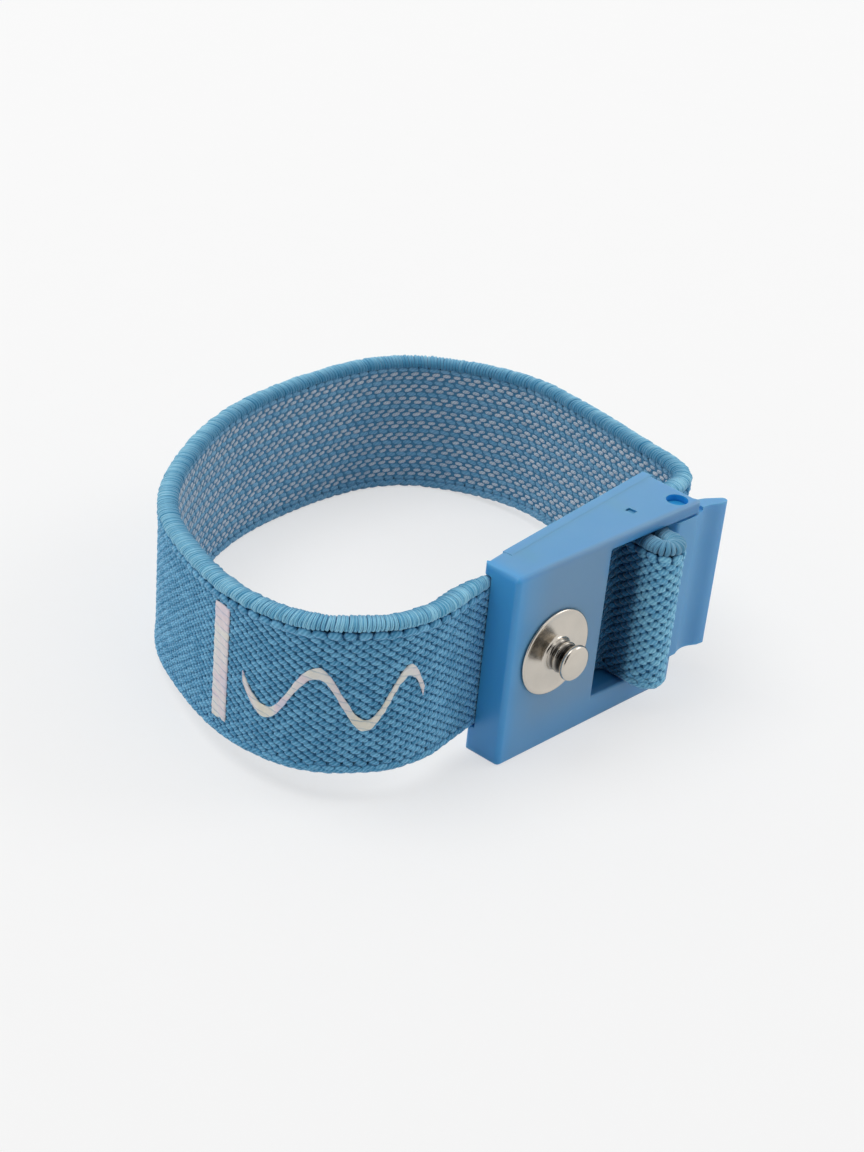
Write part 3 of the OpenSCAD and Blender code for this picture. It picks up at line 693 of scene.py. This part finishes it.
def ground(name, colour):
    """The inner yarn under the stitches, dark partly in its own colour and partly in painted shade."""
    material, tree, shader = material_nodes(name)
    lay = add(tree, "ShaderNodeAttribute", attribute_name="lay").outputs["Vector"]
    weave = noisy(tree, lay, 2500.0)
    tree.links.new(blend(tree, weave, [c * 0.6 for c in colour], colour), shader.inputs["Base Color"])
    embossed(tree, shader, weave, 0.6, 0.0001)
    shader.inputs["Roughness"].default_value = 0.9
    return material


def stored(tree, geometry, name, value, data_type="FLOAT", domain="POINT"):
    """The geometry with a value kept in a named attribute."""
    return add(tree, "GeometryNodeStoreNamedAttribute", {"Geometry": geometry, "Name": name,
        "Value": value}, data_type=data_type, domain=domain).outputs[0]


def node_group(name, sockets):
    """A Geometry Nodes tree with a geometry in and out and the named inputs."""
    tree = bpy.data.node_groups.new(name, "GeometryNodeTree")
    tree.interface.new_socket("Geometry", in_out="INPUT", socket_type="NodeSocketGeometry")
    for label, kind in sockets:
        tree.interface.new_socket(label, in_out="INPUT", socket_type=kind)
    tree.interface.new_socket("Geometry", in_out="OUTPUT", socket_type="NodeSocketGeometry")
    return tree, tree.nodes.new("NodeGroupInput").outputs, tree.nodes.new("NodeGroupOutput").inputs[0]


def placed_along(tree, given, rows, columns):
    """Points in staggered rows along the path, with the rotation that lays a stitch flat on the
    strap there: X along the path, Z towards the wrist where Side is 1, and away from it at -1."""
    path = add(tree, "GeometryNodeMeshToCurve", {"Mesh": given["Geometry"]}).outputs[0]
    points = add(tree, "GeometryNodePoints", {"Count": math_node(tree, "MULTIPLY", rows, columns)})
    index = add(tree, "GeometryNodeInputIndex").outputs[0]
    row = math_node(tree, "FLOOR", math_node(tree, "DIVIDE", math_node(tree, "ADD", index, 0.5), columns))
    column = math_node(tree, "SUBTRACT", index, math_node(tree, "MULTIPLY", row, columns))
    odd = math_node(tree, "MODULO", row, 2.0)
    place = math_node(tree, "ADD", column, math_node(tree, "MULTIPLY_ADD", odd, 0.5, given["Shift"]))
    run = math_node(tree, "MULTIPLY", place, given["Pitch"])
    thin = add(tree, "GeometryNodeInputNamedAttribute", {"Name": "thin"}, data_type="FLOAT").outputs[0]
    here = add(tree, "GeometryNodeSampleCurve", {"Curves": path, "Length": run, "Value": thin},
        data_type="FLOAT", mode="LENGTH", use_all_curves=True)
    level = vector_node(tree, "NORMALIZE",
        vector_node(tree, "MULTIPLY", here.outputs["Tangent"], (1.0, 1.0, 0.0)))
    aside = vector_node(tree, "CROSS_PRODUCT", level, (0.0, 0.0, 1.0))
    up_by = math_node(tree, "MULTIPLY_ADD", row, given["Row pitch"], given["First row"])
    high = add(tree, "ShaderNodeCombineXYZ", {"Z": up_by}).outputs[0]
    at = vector_node(tree, "ADD", here.outputs["Position"], high)
    out = vector_node(tree, "SCALE", aside, given["Side"])
    turn = add(tree, "FunctionNodeAxesToRotation", {"Primary Axis": out, "Secondary Axis": level},
        primary_axis="Z", secondary_axis="X").outputs[0]
    moved = add(tree, "GeometryNodeSetPosition", {"Geometry": points.outputs[0], "Position": at}).outputs[0]
    return stored(tree, moved, "thin", here.outputs["Value"]), turn, odd


def random_value(tree, low, high, seed):
    """A random number for each point."""
    node = add(tree, "FunctionNodeRandomValue", data_type="FLOAT")
    node.inputs[2].default_value = low
    node.inputs[3].default_value = high
    if isinstance(seed, bpy.types.NodeSocket):
        tree.links.new(seed, node.inputs[8])
    else:
        node.inputs[8].default_value = seed
    return node.outputs[1]


def finished_tree(tree, output, points, turn, tilt, shape, given, jitter):
    """Instances the shape on the points, marks each with its shade, and makes it real."""
    lean = add(tree, "FunctionNodeAxisAngleToRotation",
        {"Axis": (0.0, 0.0, 1.0), "Angle": math_node(tree, "ADD", tilt,
            random_value(tree, -jitter, jitter, given["Seed"]))}).outputs[0]
    turned_by = add(tree, "FunctionNodeRotateRotation", {"Rotation": turn, "Rotate By": lean},
        rotation_space="LOCAL").outputs[0]
    size = random_value(tree, 0.93, 1.07, math_node(tree, "ADD", given["Seed"], 5.0))
    thin = add(tree, "GeometryNodeInputNamedAttribute", {"Name": "thin"}, data_type="FLOAT").outputs[0]
    scale = add(tree, "ShaderNodeCombineXYZ",
        {"X": size, "Y": size, "Z": math_node(tree, "MULTIPLY", size, thin)}).outputs[0]
    placed = add(tree, "GeometryNodeInstanceOnPoints",
        {"Points": points, "Instance": shape, "Rotation": turned_by, "Scale": scale}).outputs[0]
    shaded = stored(tree, placed, "shade",
        random_value(tree, 0.0, 1.0, math_node(tree, "ADD", given["Seed"], 9.0)), domain="INSTANCE")
    real = add(tree, "GeometryNodeRealizeInstances", {"Geometry": shaded}).outputs[0]
    smooth = add(tree, "GeometryNodeSetShadeSmooth", {"Geometry": real}).outputs[0]
    coated = add(tree, "GeometryNodeSetMaterial", {"Geometry": smooth, "Material": given["Yarn"]}).outputs[0]
    tree.links.new(coated, output)


stitch_tree, given, stitch_out = node_group("Rows of stitches", [
    ("Rows", "NodeSocketInt"), ("Columns", "NodeSocketInt"),
    *[(label, "NodeSocketFloat") for label in ("Pitch", "Row pitch", "First row", "Side", "Shift",
        "Length", "Width", "Depth", "Tilt", "Zigzag")],
    ("Seed", "NodeSocketInt"), ("Yarn", "NodeSocketMaterial")])
stitch_points, stitch_turn, odd_row = placed_along(stitch_tree, given, given["Rows"], given["Columns"])
row_sign = math_node(stitch_tree, "MULTIPLY_ADD", odd_row, 2.0, -1.0)
stitch_lean = math_node(stitch_tree, "MULTIPLY_ADD", row_sign, given["Zigzag"], given["Tilt"])
ball = add(stitch_tree, "GeometryNodeMeshUVSphere",
    {"Segments": stitch_sides, "Rings": stitch_rings, "Radius": 1.0}).outputs["Mesh"]
laid_ball = add(stitch_tree, "GeometryNodeTransform",
    {"Geometry": ball, "Rotation": (0.0, math.pi / 2, 0.0)}).outputs[0]
ball_place = add(stitch_tree, "GeometryNodeInputPosition").outputs[0]
ball_x = add(stitch_tree, "ShaderNodeSeparateXYZ", {"Vector": ball_place}).outputs["X"]
fuller = math_node(stitch_tree, "SQRT", math_node(stitch_tree, "MULTIPLY_ADD", ball_x, ball_x, 1.0))
plump = add(stitch_tree, "ShaderNodeCombineXYZ", {"X": 1.0, "Y": fuller, "Z": fuller}).outputs[0]
plump_ball = add(stitch_tree, "GeometryNodeSetPosition",
    {"Geometry": laid_ball, "Position": vector_node(stitch_tree, "MULTIPLY", ball_place, plump)}).outputs[0]
marked_ball = stored(stitch_tree, plump_ball, "grain",
    add(stitch_tree, "GeometryNodeInputPosition").outputs[0], data_type="FLOAT_VECTOR")
half_size = add(stitch_tree, "ShaderNodeCombineXYZ",
    {axis: math_node(stitch_tree, "MULTIPLY", given[label], 0.5)
     for axis, label in (("X", "Length"), ("Y", "Width"), ("Z", "Depth"))}).outputs[0]
stitch_shape = add(stitch_tree, "GeometryNodeTransform",
    {"Geometry": marked_ball, "Scale": half_size}).outputs[0]
finished_tree(stitch_tree, stitch_out, stitch_points, stitch_turn, stitch_lean, stitch_shape, given, 0.16)


def grown(name, tree, path, **values):
    """Runs a node tree on a path and returns the plain mesh that it makes."""
    line = bpy.data.meshes.new(name)
    line.from_pydata(path, [(i, i + 1) for i in range(len(path) - 1)], [])
    line.attributes.new("thin", "FLOAT", "POINT").data.foreach_set("value", [squeezed(p) for p in path])
    thing = linked(name, line)
    modifier = thing.modifiers.new("made", "NODES")
    modifier.node_group = tree
    names = {s.name: s.identifier for s in tree.interface.items_tree
        if s.item_type == "SOCKET" and s.in_out == "INPUT"}
    for key, value in values.items():
        modifier[names[key.replace("_", " ")]] = value
    return evaluated(thing, modifier)


def joined(name, meshes):
    """One mesh out of several, with their materials and attributes."""
    parts = [linked(name, mesh) for mesh in meshes]
    with bpy.context.temp_override(active_object=parts[0], selected_editable_objects=parts,
            selected_objects=parts):
        bpy.ops.object.join()
    mesh = parts[0].data
    bpy.data.objects.remove(parts[0])
    mesh.name = name
    return mesh


def length_of(path):
    """The length of a path."""
    return sum((b - a).length for a, b in zip(path, path[1:]))


def slab(low, high, inner, outer):
    """A rectangular section between two heights and two distances from the middle line."""
    return [(inner, low), (inner, high), (outer, high), (outer, low)]


def stitched(name, path, yarn_used, inward_by, rows, first, size=stitch_size, pitch=stitch_pitch,
        rise=row_pitch, tilt=stitch_tilt, zigzag=stitch_zigzag, shift=0.25, seed=1):
    """Rows of stitches on one side of the strap, at a distance from its middle line."""
    way = [p + inward(path, i) * inward_by * squeezed(p) for i, p in enumerate(path)]
    return grown(name, stitch_tree, way, Rows=rows, Columns=int(length_of(way) / pitch - 0.3),
        Pitch=pitch, Row_pitch=rise, First_row=first, Side=math.copysign(1, inward_by), Shift=shift,
        Length=size[0], Width=size[1], Depth=size[2], Tilt=tilt, Zigzag=zigzag, Seed=seed, Yarn=yarn_used)


knit_yarn = yarn("knit", (0.22, 0.58, 0.86), (0.06, 0.29, 0.52), (0.03, 0.18, 0.37), ends=0.6, deep=0.45)
knit_ground = ground("knit_ground", (0.03, 0.17, 0.34))
scallop_size = (1.4 * mm, 0.86 * mm, 0.66 * mm)
scallop_pitch = 1.5 * mm
scallop_drop = 0.12 * mm
row_sink = 0.22 * mm
scallop_sink = 0.18 * mm
ground_sink = 0.2 * mm
ground_low = 0.9 * mm
row_overlap = 0.1 * mm


def outer_face(name, path, seed, yarn_used=knit_yarn, rise=row_pitch, size=stitch_size, pitch=stitch_pitch,
        tilt=stitch_tilt):
    """The knitted outside of a stretch of strap, as separate meshes to be joined."""
    out = -strap_t / 2
    rows = int(face_web / rise) + 1
    return [
        swept(name + "_ground", path,
            slab(cord_h, strap_w - cord_h, out + ground_low, out + ground_sink), knit_ground, smooth=False),
        stitched(name + "_rows", path, yarn_used, out + row_sink, rows, cord_h - row_overlap, rise=rise,
            size=size, pitch=pitch, tilt=tilt, seed=seed),
        stitched(name + "_scallops", path, yarn_used, out + scallop_sink, 1,
            strap_w - cord_h - scallop_drop, size=scallop_size, pitch=scallop_pitch, tilt=0.0, zigzag=0.0,
            seed=seed + 20),
    ]


new_piece("knitted_face", joined("knitted_face", outer_face("face", ring, 1)),
    CLASP_BODY, "knit", "strap_face")

# --- Rubber threads -----------------------------------------------------------------------------
# The threads of rubber that make the strap stretch lie side by side between its two faces.
thread_count = 13
thread_r = 0.19 * mm


def rubber(name):
    """Matt natural rubber with a little dust."""
    material, tree, shader = material_nodes(name)
    lay = add(tree, "ShaderNodeAttribute", attribute_name="lay").outputs["Vector"]
    dusty = blend(tree, noisy(tree, lay, 1800.0, 3.0), (0.62, 0.58, 0.47), (0.74, 0.71, 0.62))
    tree.links.new(dusty, shader.inputs["Base Color"])
    shader.inputs["Roughness"].default_value = 0.8
    return material


def round_section(inner, high, half_across, half_up, sides=8):
    """An oval section round a point at a distance inward and a height."""
    return [(inner + half_across * math.cos(a), high + half_up * math.sin(a))
        for a in (2 * math.pi * k / sides for k in range(sides))]


rubber_paint = rubber("rubber_threads")
thread_step = face_web / thread_count
core_middle = 0.1 * mm
core_way = lifted(smooth_way(route, 5))
threads = [swept("thread", core_way,
        round_section(core_middle, cord_h + (k + 0.5) * thread_step, thread_r, thread_r, 6), rubber_paint)
    for k in range(thread_count)]
new_piece("rubber_core", joined("rubber_core", threads), CLASP_BODY, "rubber_threads", "strap_core")

# --- Lining -------------------------------------------------------------------------------------
# The inside of the strap: blue ribs along it, each with a double row of silver-plated yarn that
# touches the skin, and a blue groove between ribs.
rib_count = 9
rib_pitch = 1.68 * mm
rib_first = (strap_w - (rib_count - 1) * rib_pitch) / 2
fleck_size = (1.02 * mm, 0.5 * mm, 0.28 * mm)
groove_size = (1.36 * mm, 0.66 * mm, 0.28 * mm)
fleck_gap = 0.52 * mm
fleck_sink = 0.14 * mm
fleck_tilt = math.radians(9)
groove_sink = 0.2 * mm
groove_tilt = math.radians(-8)
lining_low = 0.32 * mm

silver_yarn = yarn("silver_knit", (0.74, 0.77, 0.82), (0.42, 0.54, 0.66), (0.21, 0.41, 0.58), ends=0.7,
    deep=0.7, metallic=0.1)
blue_yarn = yarn("lining_yarn", (0.26, 0.52, 0.73), (0.13, 0.38, 0.60), (0.08, 0.29, 0.49), ends=0.5,
    deep=0.4)
lining_ground = ground("lining_ground", (0.10, 0.31, 0.52))


def inner_face(name, path, seed):
    """The lining of a stretch of strap, as separate meshes to be joined."""
    inside = strap_t / 2
    parts = [swept(name + "_ground", path, slab(cord_h, strap_w - cord_h, inside - fleck_sink, lining_low),
        lining_ground, smooth=False)]
    for k in range(rib_count):
        parts.append(stitched(f"{name}_rib_{k}", path, silver_yarn, inside - fleck_sink, 2,
            rib_first + k * rib_pitch - fleck_gap / 2, size=fleck_size, rise=fleck_gap,
            tilt=fleck_tilt, zigzag=0.0, seed=seed + k))
    parts.append(stitched(name + "_grooves", path, blue_yarn, inside - groove_sink, rib_count + 1,
        rib_first - rib_pitch / 2, size=groove_size, rise=rib_pitch, tilt=groove_tilt, zigzag=0.0,
        seed=seed + 30))
    return parts


new_piece("ribbed_lining", joined("ribbed_lining", inner_face("lining", ring, 60)),
    CLASP_BODY, "silver_knit", "strap_lining")

# --- Edge cords ---------------------------------------------------------------------------------
# Each edge of the strap is a thick cord. The upper one is closely wrapped with strands of a
# lighter yarn, and the lower one is covered by the knit itself, in rows that run round it.
strand_r = 0.235 * mm
strand_pitch = 0.42 * mm
strand_lean = math.radians(9)
hem_rows = 12
hem_sink = 0.25 * mm
hem_stitch = (1.4 * mm, 0.62 * mm, 0.5 * mm)

wrap_tree, given, wrap_out = node_group("Strands wrapped round a cord", [
    ("Columns", "NodeSocketInt"),
    *[(label, "NodeSocketFloat") for label in ("Pitch", "Row pitch", "First row", "Side", "Shift",
        "Width", "Height", "Strand radius", "Tilt")],
    ("Seed", "NodeSocketInt"), ("Yarn", "NodeSocketMaterial")])
wrap_points, wrap_turn, _ = placed_along(wrap_tree, given, 1.0, given["Columns"])
hoop = add(wrap_tree, "GeometryNodeCurvePrimitiveCircle", {"Resolution": 14, "Radius": 0.5},
    mode="RADIUS").outputs["Curve"]
upright = add(wrap_tree, "GeometryNodeTransform",
    {"Geometry": hoop, "Rotation": (0.0, math.pi / 2, 0.0)}).outputs[0]
oval_size = add(wrap_tree, "ShaderNodeCombineXYZ", {"X": 1.0,
    "Y": math_node(wrap_tree, "MULTIPLY_ADD", given["Strand radius"], -2.0, given["Height"]),
    "Z": math_node(wrap_tree, "MULTIPLY_ADD", given["Strand radius"], -2.0, given["Width"])}).outputs[0]
oval = add(wrap_tree, "GeometryNodeTransform", {"Geometry": upright, "Scale": oval_size}).outputs[0]
strand_ring = add(wrap_tree, "GeometryNodeCurvePrimitiveCircle",
    {"Resolution": 6, "Radius": given["Strand radius"]}, mode="RADIUS").outputs["Curve"]
strand = add(wrap_tree, "GeometryNodeCurveToMesh",
    {"Curve": oval, "Profile Curve": strand_ring}).outputs[0]
spread = vector_node(wrap_tree, "MULTIPLY", add(wrap_tree, "GeometryNodeInputPosition").outputs[0],
    (4000.0, 700.0, 700.0))
strand_marked = stored(wrap_tree, strand, "grain", spread, data_type="FLOAT_VECTOR")
finished_tree(wrap_tree, wrap_out, wrap_points, wrap_turn, given["Tilt"], strand_marked, given, 0.09)

edge_yarn = yarn("edge_yarn", (0.36, 0.74, 0.94), (0.10, 0.40, 0.64), (0.04, 0.24, 0.44), filaments=1.0,
    twist=0.0, plies=(1.3, 0.5), ends=0.6, deep=0.75, deep_range=(-0.2, 0.6))
edge_ground = ground("edge_ground", (0.03, 0.15, 0.28))


def edge_cord(name, path, low, seed, yarn_used=edge_yarn, pitch=strand_pitch, radius=strand_r):
    """A wrapped cord along an edge of the strap, its lower side at a height above the path."""
    middle = low + cord_h / 2
    sink = 1.6 * radius
    filling = swept(name + "_filling", path,
        round_section(0, middle, cord_w / 2 - sink, cord_h / 2 - sink, 10), edge_ground)
    wraps = grown(name + "_wraps", wrap_tree, path, Columns=int(length_of(path) / pitch - 0.3),
        Pitch=pitch, Row_pitch=0.0, First_row=middle, Side=1.0, Shift=0.25, Width=cord_w, Height=cord_h,
        Strand_radius=radius, Tilt=strand_lean, Seed=seed, Yarn=yarn_used)
    return joined(name, [filling, wraps])


def hem(name, path, low, seed, face_yarn=knit_yarn):
    """An edge cord that the knit covers, in rows of stitches round it: those of the face outside
    and plain blue ones on the wrist's side."""
    middle = low + cord_h / 2
    half_w = cord_w / 2 - hem_sink
    half_h = cord_h / 2 - hem_sink
    parts = [swept(name + "_filling", path, round_section(0, middle, half_w, half_h, 12), edge_ground)]
    for k in range(hem_rows):
        angle = 2 * math.pi * (k + 0.5) / hem_rows
        across = half_w * math.cos(angle)
        parts.append(stitched(f"{name}_row_{k}", path, blue_yarn if across > 0 else face_yarn,
            across, 1, middle + half_h * math.sin(angle), size=hem_stitch,
            tilt=0.0, zigzag=0.0, shift=0.25 + 0.5 * (k % 2), seed=seed + k))
    return joined(name, parts)


new_piece("wrapped_top_cord", edge_cord("wrapped_top_cord", ring, strap_w - cord_h, 3),
    CLASP_BODY, "edge_yarn", "strap_top_cord")
new_piece("knitted_bottom_edge", hem("knitted_bottom_edge", ring, 0, 200),
    CLASP_BODY, "edge_yarn", "strap_bottom_cord")

# --- Fixed end and its seam ---------------------------------------------------------------------
# The strap's riveted end lies flat on the wall inside the clasp, pressed thin, with a row of
# stitches across its cut edge.
seat_steps = 8
fixed_plan = [(joint_l + play + (seat_from - joint_l - play) * k / seat_steps,
    fixed_y + (exit_y - fixed_y) * (1 + math.cos(math.pi * k / seat_steps)) / 2)
    for k in range(seat_steps + 1)]
fixed_plan += [(seat_from + (fixed_tip - seat_from) * k / 4, fixed_y) for k in range(1, 5)]
fixed_way = lifted(fixed_plan[::-1], level=True)
fixed_meshes = outer_face("fixed_end", fixed_way, 81) + inner_face("fixed_end_lining", fixed_way, 90)
for cord_low in (0, strap_w - cord_h):
    fixed_meshes.append(edge_cord("fixed_end_edge", fixed_way, cord_low, 7))
new_piece("riveted_end", joined("riveted_end", fixed_meshes), CLASP_BODY, "knit", "strap_fixed_end")
seam_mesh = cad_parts["fixed_end_stitches"].data
seam_mesh.materials.clear()
seam_mesh.materials.append(yarn("thread", (0.08, 0.24, 0.42), (0.05, 0.15, 0.3), (0.05, 0.15, 0.3), deep=0.0))

# --- Pulled-out loop ----------------------------------------------------------------------------
# The free end of the strap runs in along the cover, comes out of the window between wall and
# lever, turns round and goes back in as a short tail behind the front wall.
loop_w = 4.7 * mm
loop_out = 3.6 * mm
loop_gap = 0.6 * mm
tail_l = 4.3 * mm
tail_gap = 1.7 * mm
bend_r = 1.6 * mm
hub_r = 2.25 * mm
pin_inset = 2 * mm


def arc(centre, radius, start, end, steps):
    """Points of an arc in plan, with its angles in degrees."""
    angles = [math.radians(start + (end - start) * k / steps) for k in range(steps + 1)]
    return [(centre[0] + radius * math.cos(a), centre[1] + radius * math.sin(a)) for a in angles]


leg_x = clasp_l - pin_inset - hub_r - loop_gap - cord_w / 2
turn_r = (loop_w - cord_w) / 2
tail_y = front_wall + tail_gap + cord_w / 2
bend_out = (leg_x + bend_r, on_back((leg_x + bend_r) / math.cos(wedge), run_y)[1] - bend_r)
turn_c = (leg_x - turn_r, -loop_out + cord_w / 2 + turn_r)
bend_in = (leg_x - 2 * turn_r - bend_r, tail_y - bend_r)
loop_plan = [on_back(back_l - joint_l - play, run_y)]
loop_plan += arc(bend_out, bend_r, 90 + math.degrees(wedge), 180, 8)
loop_plan += arc(turn_c, turn_r, 0, -180, 20)
loop_plan += arc(bend_in, bend_r, 0, 90, 8)
loop_plan.append((bend_in[0] - tail_l, tail_y))
loop_way = lifted(loop_plan, level=True)
loop_rise = 0.54 * mm
loop_pitch = 1.42 * mm
loop_stitch = (1.2 * mm, 0.82 * mm, 0.6 * mm)
loop_tilt = math.radians(3)
loop_wrap_pitch = 0.4 * mm
loop_strand_r = 0.28 * mm
shade_from = clasp_low.y - 0.9 * mm
shade_full = clasp_low.y + 0.5 * mm
# Painted light: the loop's yarns are lighter copies of the strap's own, for the loop out in front in the
# light, and they take painted shade inside the window, from shade_from to shade_full.
lit_loop_yarn = yarn("lit_loop_knit", (0.33, 0.75, 0.97), (0.13, 0.44, 0.72), (0.03, 0.18, 0.37), ends=0.5, deep=0.4,
    inside=((0.02, 0.17, 0.36), shade_from, shade_full))
lit_loop_edge_yarn = yarn("lit_loop_edge_yarn", (0.42, 0.74, 0.92), (0.17, 0.47, 0.68), (0.03, 0.20, 0.38),
    filaments=1.0, twist=0.0, plies=(1.3, 0.5), ends=0.6,
    inside=((0.015, 0.14, 0.30), shade_from, shade_full))
new_piece("knitted_loop",
    joined("knitted_loop",
        outer_face("loop", loop_way, 120, lit_loop_yarn, loop_rise, loop_stitch, loop_pitch, loop_tilt)
        + inner_face("loop_lining", loop_way, 130)),
    CLASP_BODY, "knit", "loop_web")
new_piece("wrapped_loop_top",
    edge_cord("wrapped_loop_top", loop_way, strap_w - cord_h, 260, lit_loop_edge_yarn, loop_wrap_pitch,
        loop_strand_r),
    CLASP_BODY, "edge_yarn", "loop_top_cord")
new_piece("knitted_loop_bottom", hem("knitted_loop_bottom", loop_way, 0, 290, lit_loop_yarn),
    CLASP_BODY, "edge_yarn", "loop_bottom_cord")

# --- Pearl trim ---------------------------------------------------------------------------------
# A wavy line and an upright bar of pearl film, pressed onto the knit with heat. The film follows
# the stitches under it, and the knit shows faintly through its creases.
film_lift = 0.03 * mm
film_t = 0.1 * mm
film_bump = 0.05 * mm
film_fray = 0.7 * mm
film_uneven = 0.3 * mm
wave_w = 1.3 * mm
wave_h = 6 * mm
bar_h = 13.5 * mm
bar_w = 2.4 * mm
wave_start = 2 * ring_steps + 2
wave_period = 16
wave_count = 2
bar_start = wave_start + wave_period * wave_count + 3


def film(name, path, heights, height, material, across=8):
    """A strip of film on the outside of the strap, round a height at each point of the path."""
    bm = bmesh.new()
    layers = []
    lay_of = {}
    run = 0
    for i, p in enumerate(path):
        run += (p - path[i - 1]).length if i else 0
        aside = inward(path, i)
        column = []
        for k in range(across + 1):
            fray = noise.noise(Vector((run / film_fray, 9.0 * (k > across / 2), 0.5)))
            high = heights[i] + (height + film_uneven * fray) * (k / across - 0.5)
            wave = math.cos(2 * math.pi * (run / stitch_pitch + high / (4 * row_pitch))) \
                * math.cos(2 * math.pi * high / (2 * row_pitch))
            edge = min(k, across - k, i, len(path) - 1 - i)
            top = strap_t / 2 + film_lift + film_bump * wave + (film_t if edge > 0 else film_t * 0.4)
            pair = []
            for out in (top, strap_t / 2 - film_lift):
                vert = bm.verts.new(p - aside * out + Vector((0, 0, high)))
                lay_of[vert] = (run, high, 0)
                pair.append(vert)
            column.append(pair)
        layers.append(column)
    for a, b in zip(layers, layers[1:]):
        for k in range(across):
            bm.faces.new((a[k][0], a[k + 1][0], b[k + 1][0], b[k][0]))
            bm.faces.new((a[k][1], b[k][1], b[k + 1][1], a[k + 1][1]))
        for k, flip in ((0, False), (across, True)):
            rim = [a[k][0], b[k][0], b[k][1], a[k][1]]
            bm.faces.new(rim[::-1] if flip else rim)
    for column in (layers[0], layers[-1]):
        for k in range(across):
            bm.faces.new((column[k][0], column[k][1], column[k + 1][1], column[k + 1][0]))
    bmesh.ops.recalc_face_normals(bm, faces=bm.faces)
    bm.verts.index_update()
    lay = [c for vert in bm.verts for c in lay_of[vert]]
    mesh = meshed(bm, name, material)
    mesh.attributes.new("lay", "FLOAT_VECTOR", "POINT").data.foreach_set("vector", lay)
    return mesh


def pearl(name):
    """Pearl film: cream and white that turns to pink and lilac in patches, with blue creases."""
    material, tree, shader = material_nodes(name)
    lay = add(tree, "ShaderNodeAttribute", attribute_name="lay").outputs["Vector"]
    tones = colour_ramp(tree, noisy(tree, lay, 190.0, 2.0, 0.6), [(0.3, (0.94, 0.87, 0.66)),
        (0.45, (0.95, 0.92, 0.86)), (0.55, (0.94, 0.77, 0.82)), (0.66, (0.76, 0.76, 0.92)),
        (0.78, (0.84, 0.93, 0.90))])
    slope = add(tree, "ShaderNodeVectorMath", {0: lay, 1: (-450.0, 2150.0, 0.0)}, operation="DOT_PRODUCT")
    wobble = noisy(tree, lay, 800.0, 1.0)
    bent = math_node(tree, "MULTIPLY_ADD", wobble, 0.5, slope.outputs["Value"])
    line = math_node(tree, "FRACT", math_node(tree, "MULTIPLY", bent, 0.5))
    crease = ranged(tree, line, 0.76, 0.97, to_high=0.8)
    mottled = blend(tree, math_node(tree, "MULTIPLY", noisy(tree, lay, 2600.0), 0.4), tones,
        (0.52, 0.57, 0.66))
    tint = blend(tree, math_node(tree, "MULTIPLY", crease, wobble), mottled, (0.12, 0.32, 0.5))
    tree.links.new(tint, shader.inputs["Base Color"])
    embossed(tree, shader, crease, 0.4, 0.00005, invert=True)
    shader.inputs["Roughness"].default_value = 0.32
    shader.inputs["Coat Weight"].default_value = 0.3
    return material


def finer(path, steps):
    """The path with each stretch cut into equal steps."""
    return [a.lerp(b, k / steps) for a, b in zip(path, path[1:]) for k in range(steps)] + [path[-1]]


pearl_film = pearl("pearl_film")
wave_steps = 5
wave_path = finer(ring[wave_start:wave_start + wave_period * wave_count + 1], wave_steps)
wave_heights = [strap_w / 2 + wave_h / 2 * math.sin(2 * math.pi * i / (wave_period * wave_steps))
    for i in range(len(wave_path))]
new_piece("pearl_wavy_line", film("pearl_wavy_line", wave_path, wave_heights, wave_w, pearl_film),
    CLASP_BODY, "pearl_film", "pearl_wave")
bar_from = ring[bar_start]
bar_along = (ring[bar_start + 2] - bar_from).normalized() * bar_w
bar_path = [bar_from + bar_along * k / 12 for k in range(13)]
new_piece("pearl_upright_bar",
    film("pearl_upright_bar", bar_path, [strap_w / 2] * len(bar_path), bar_h, pearl_film, across=64),
    CLASP_BODY, "pearl_film", "pearl_bar")
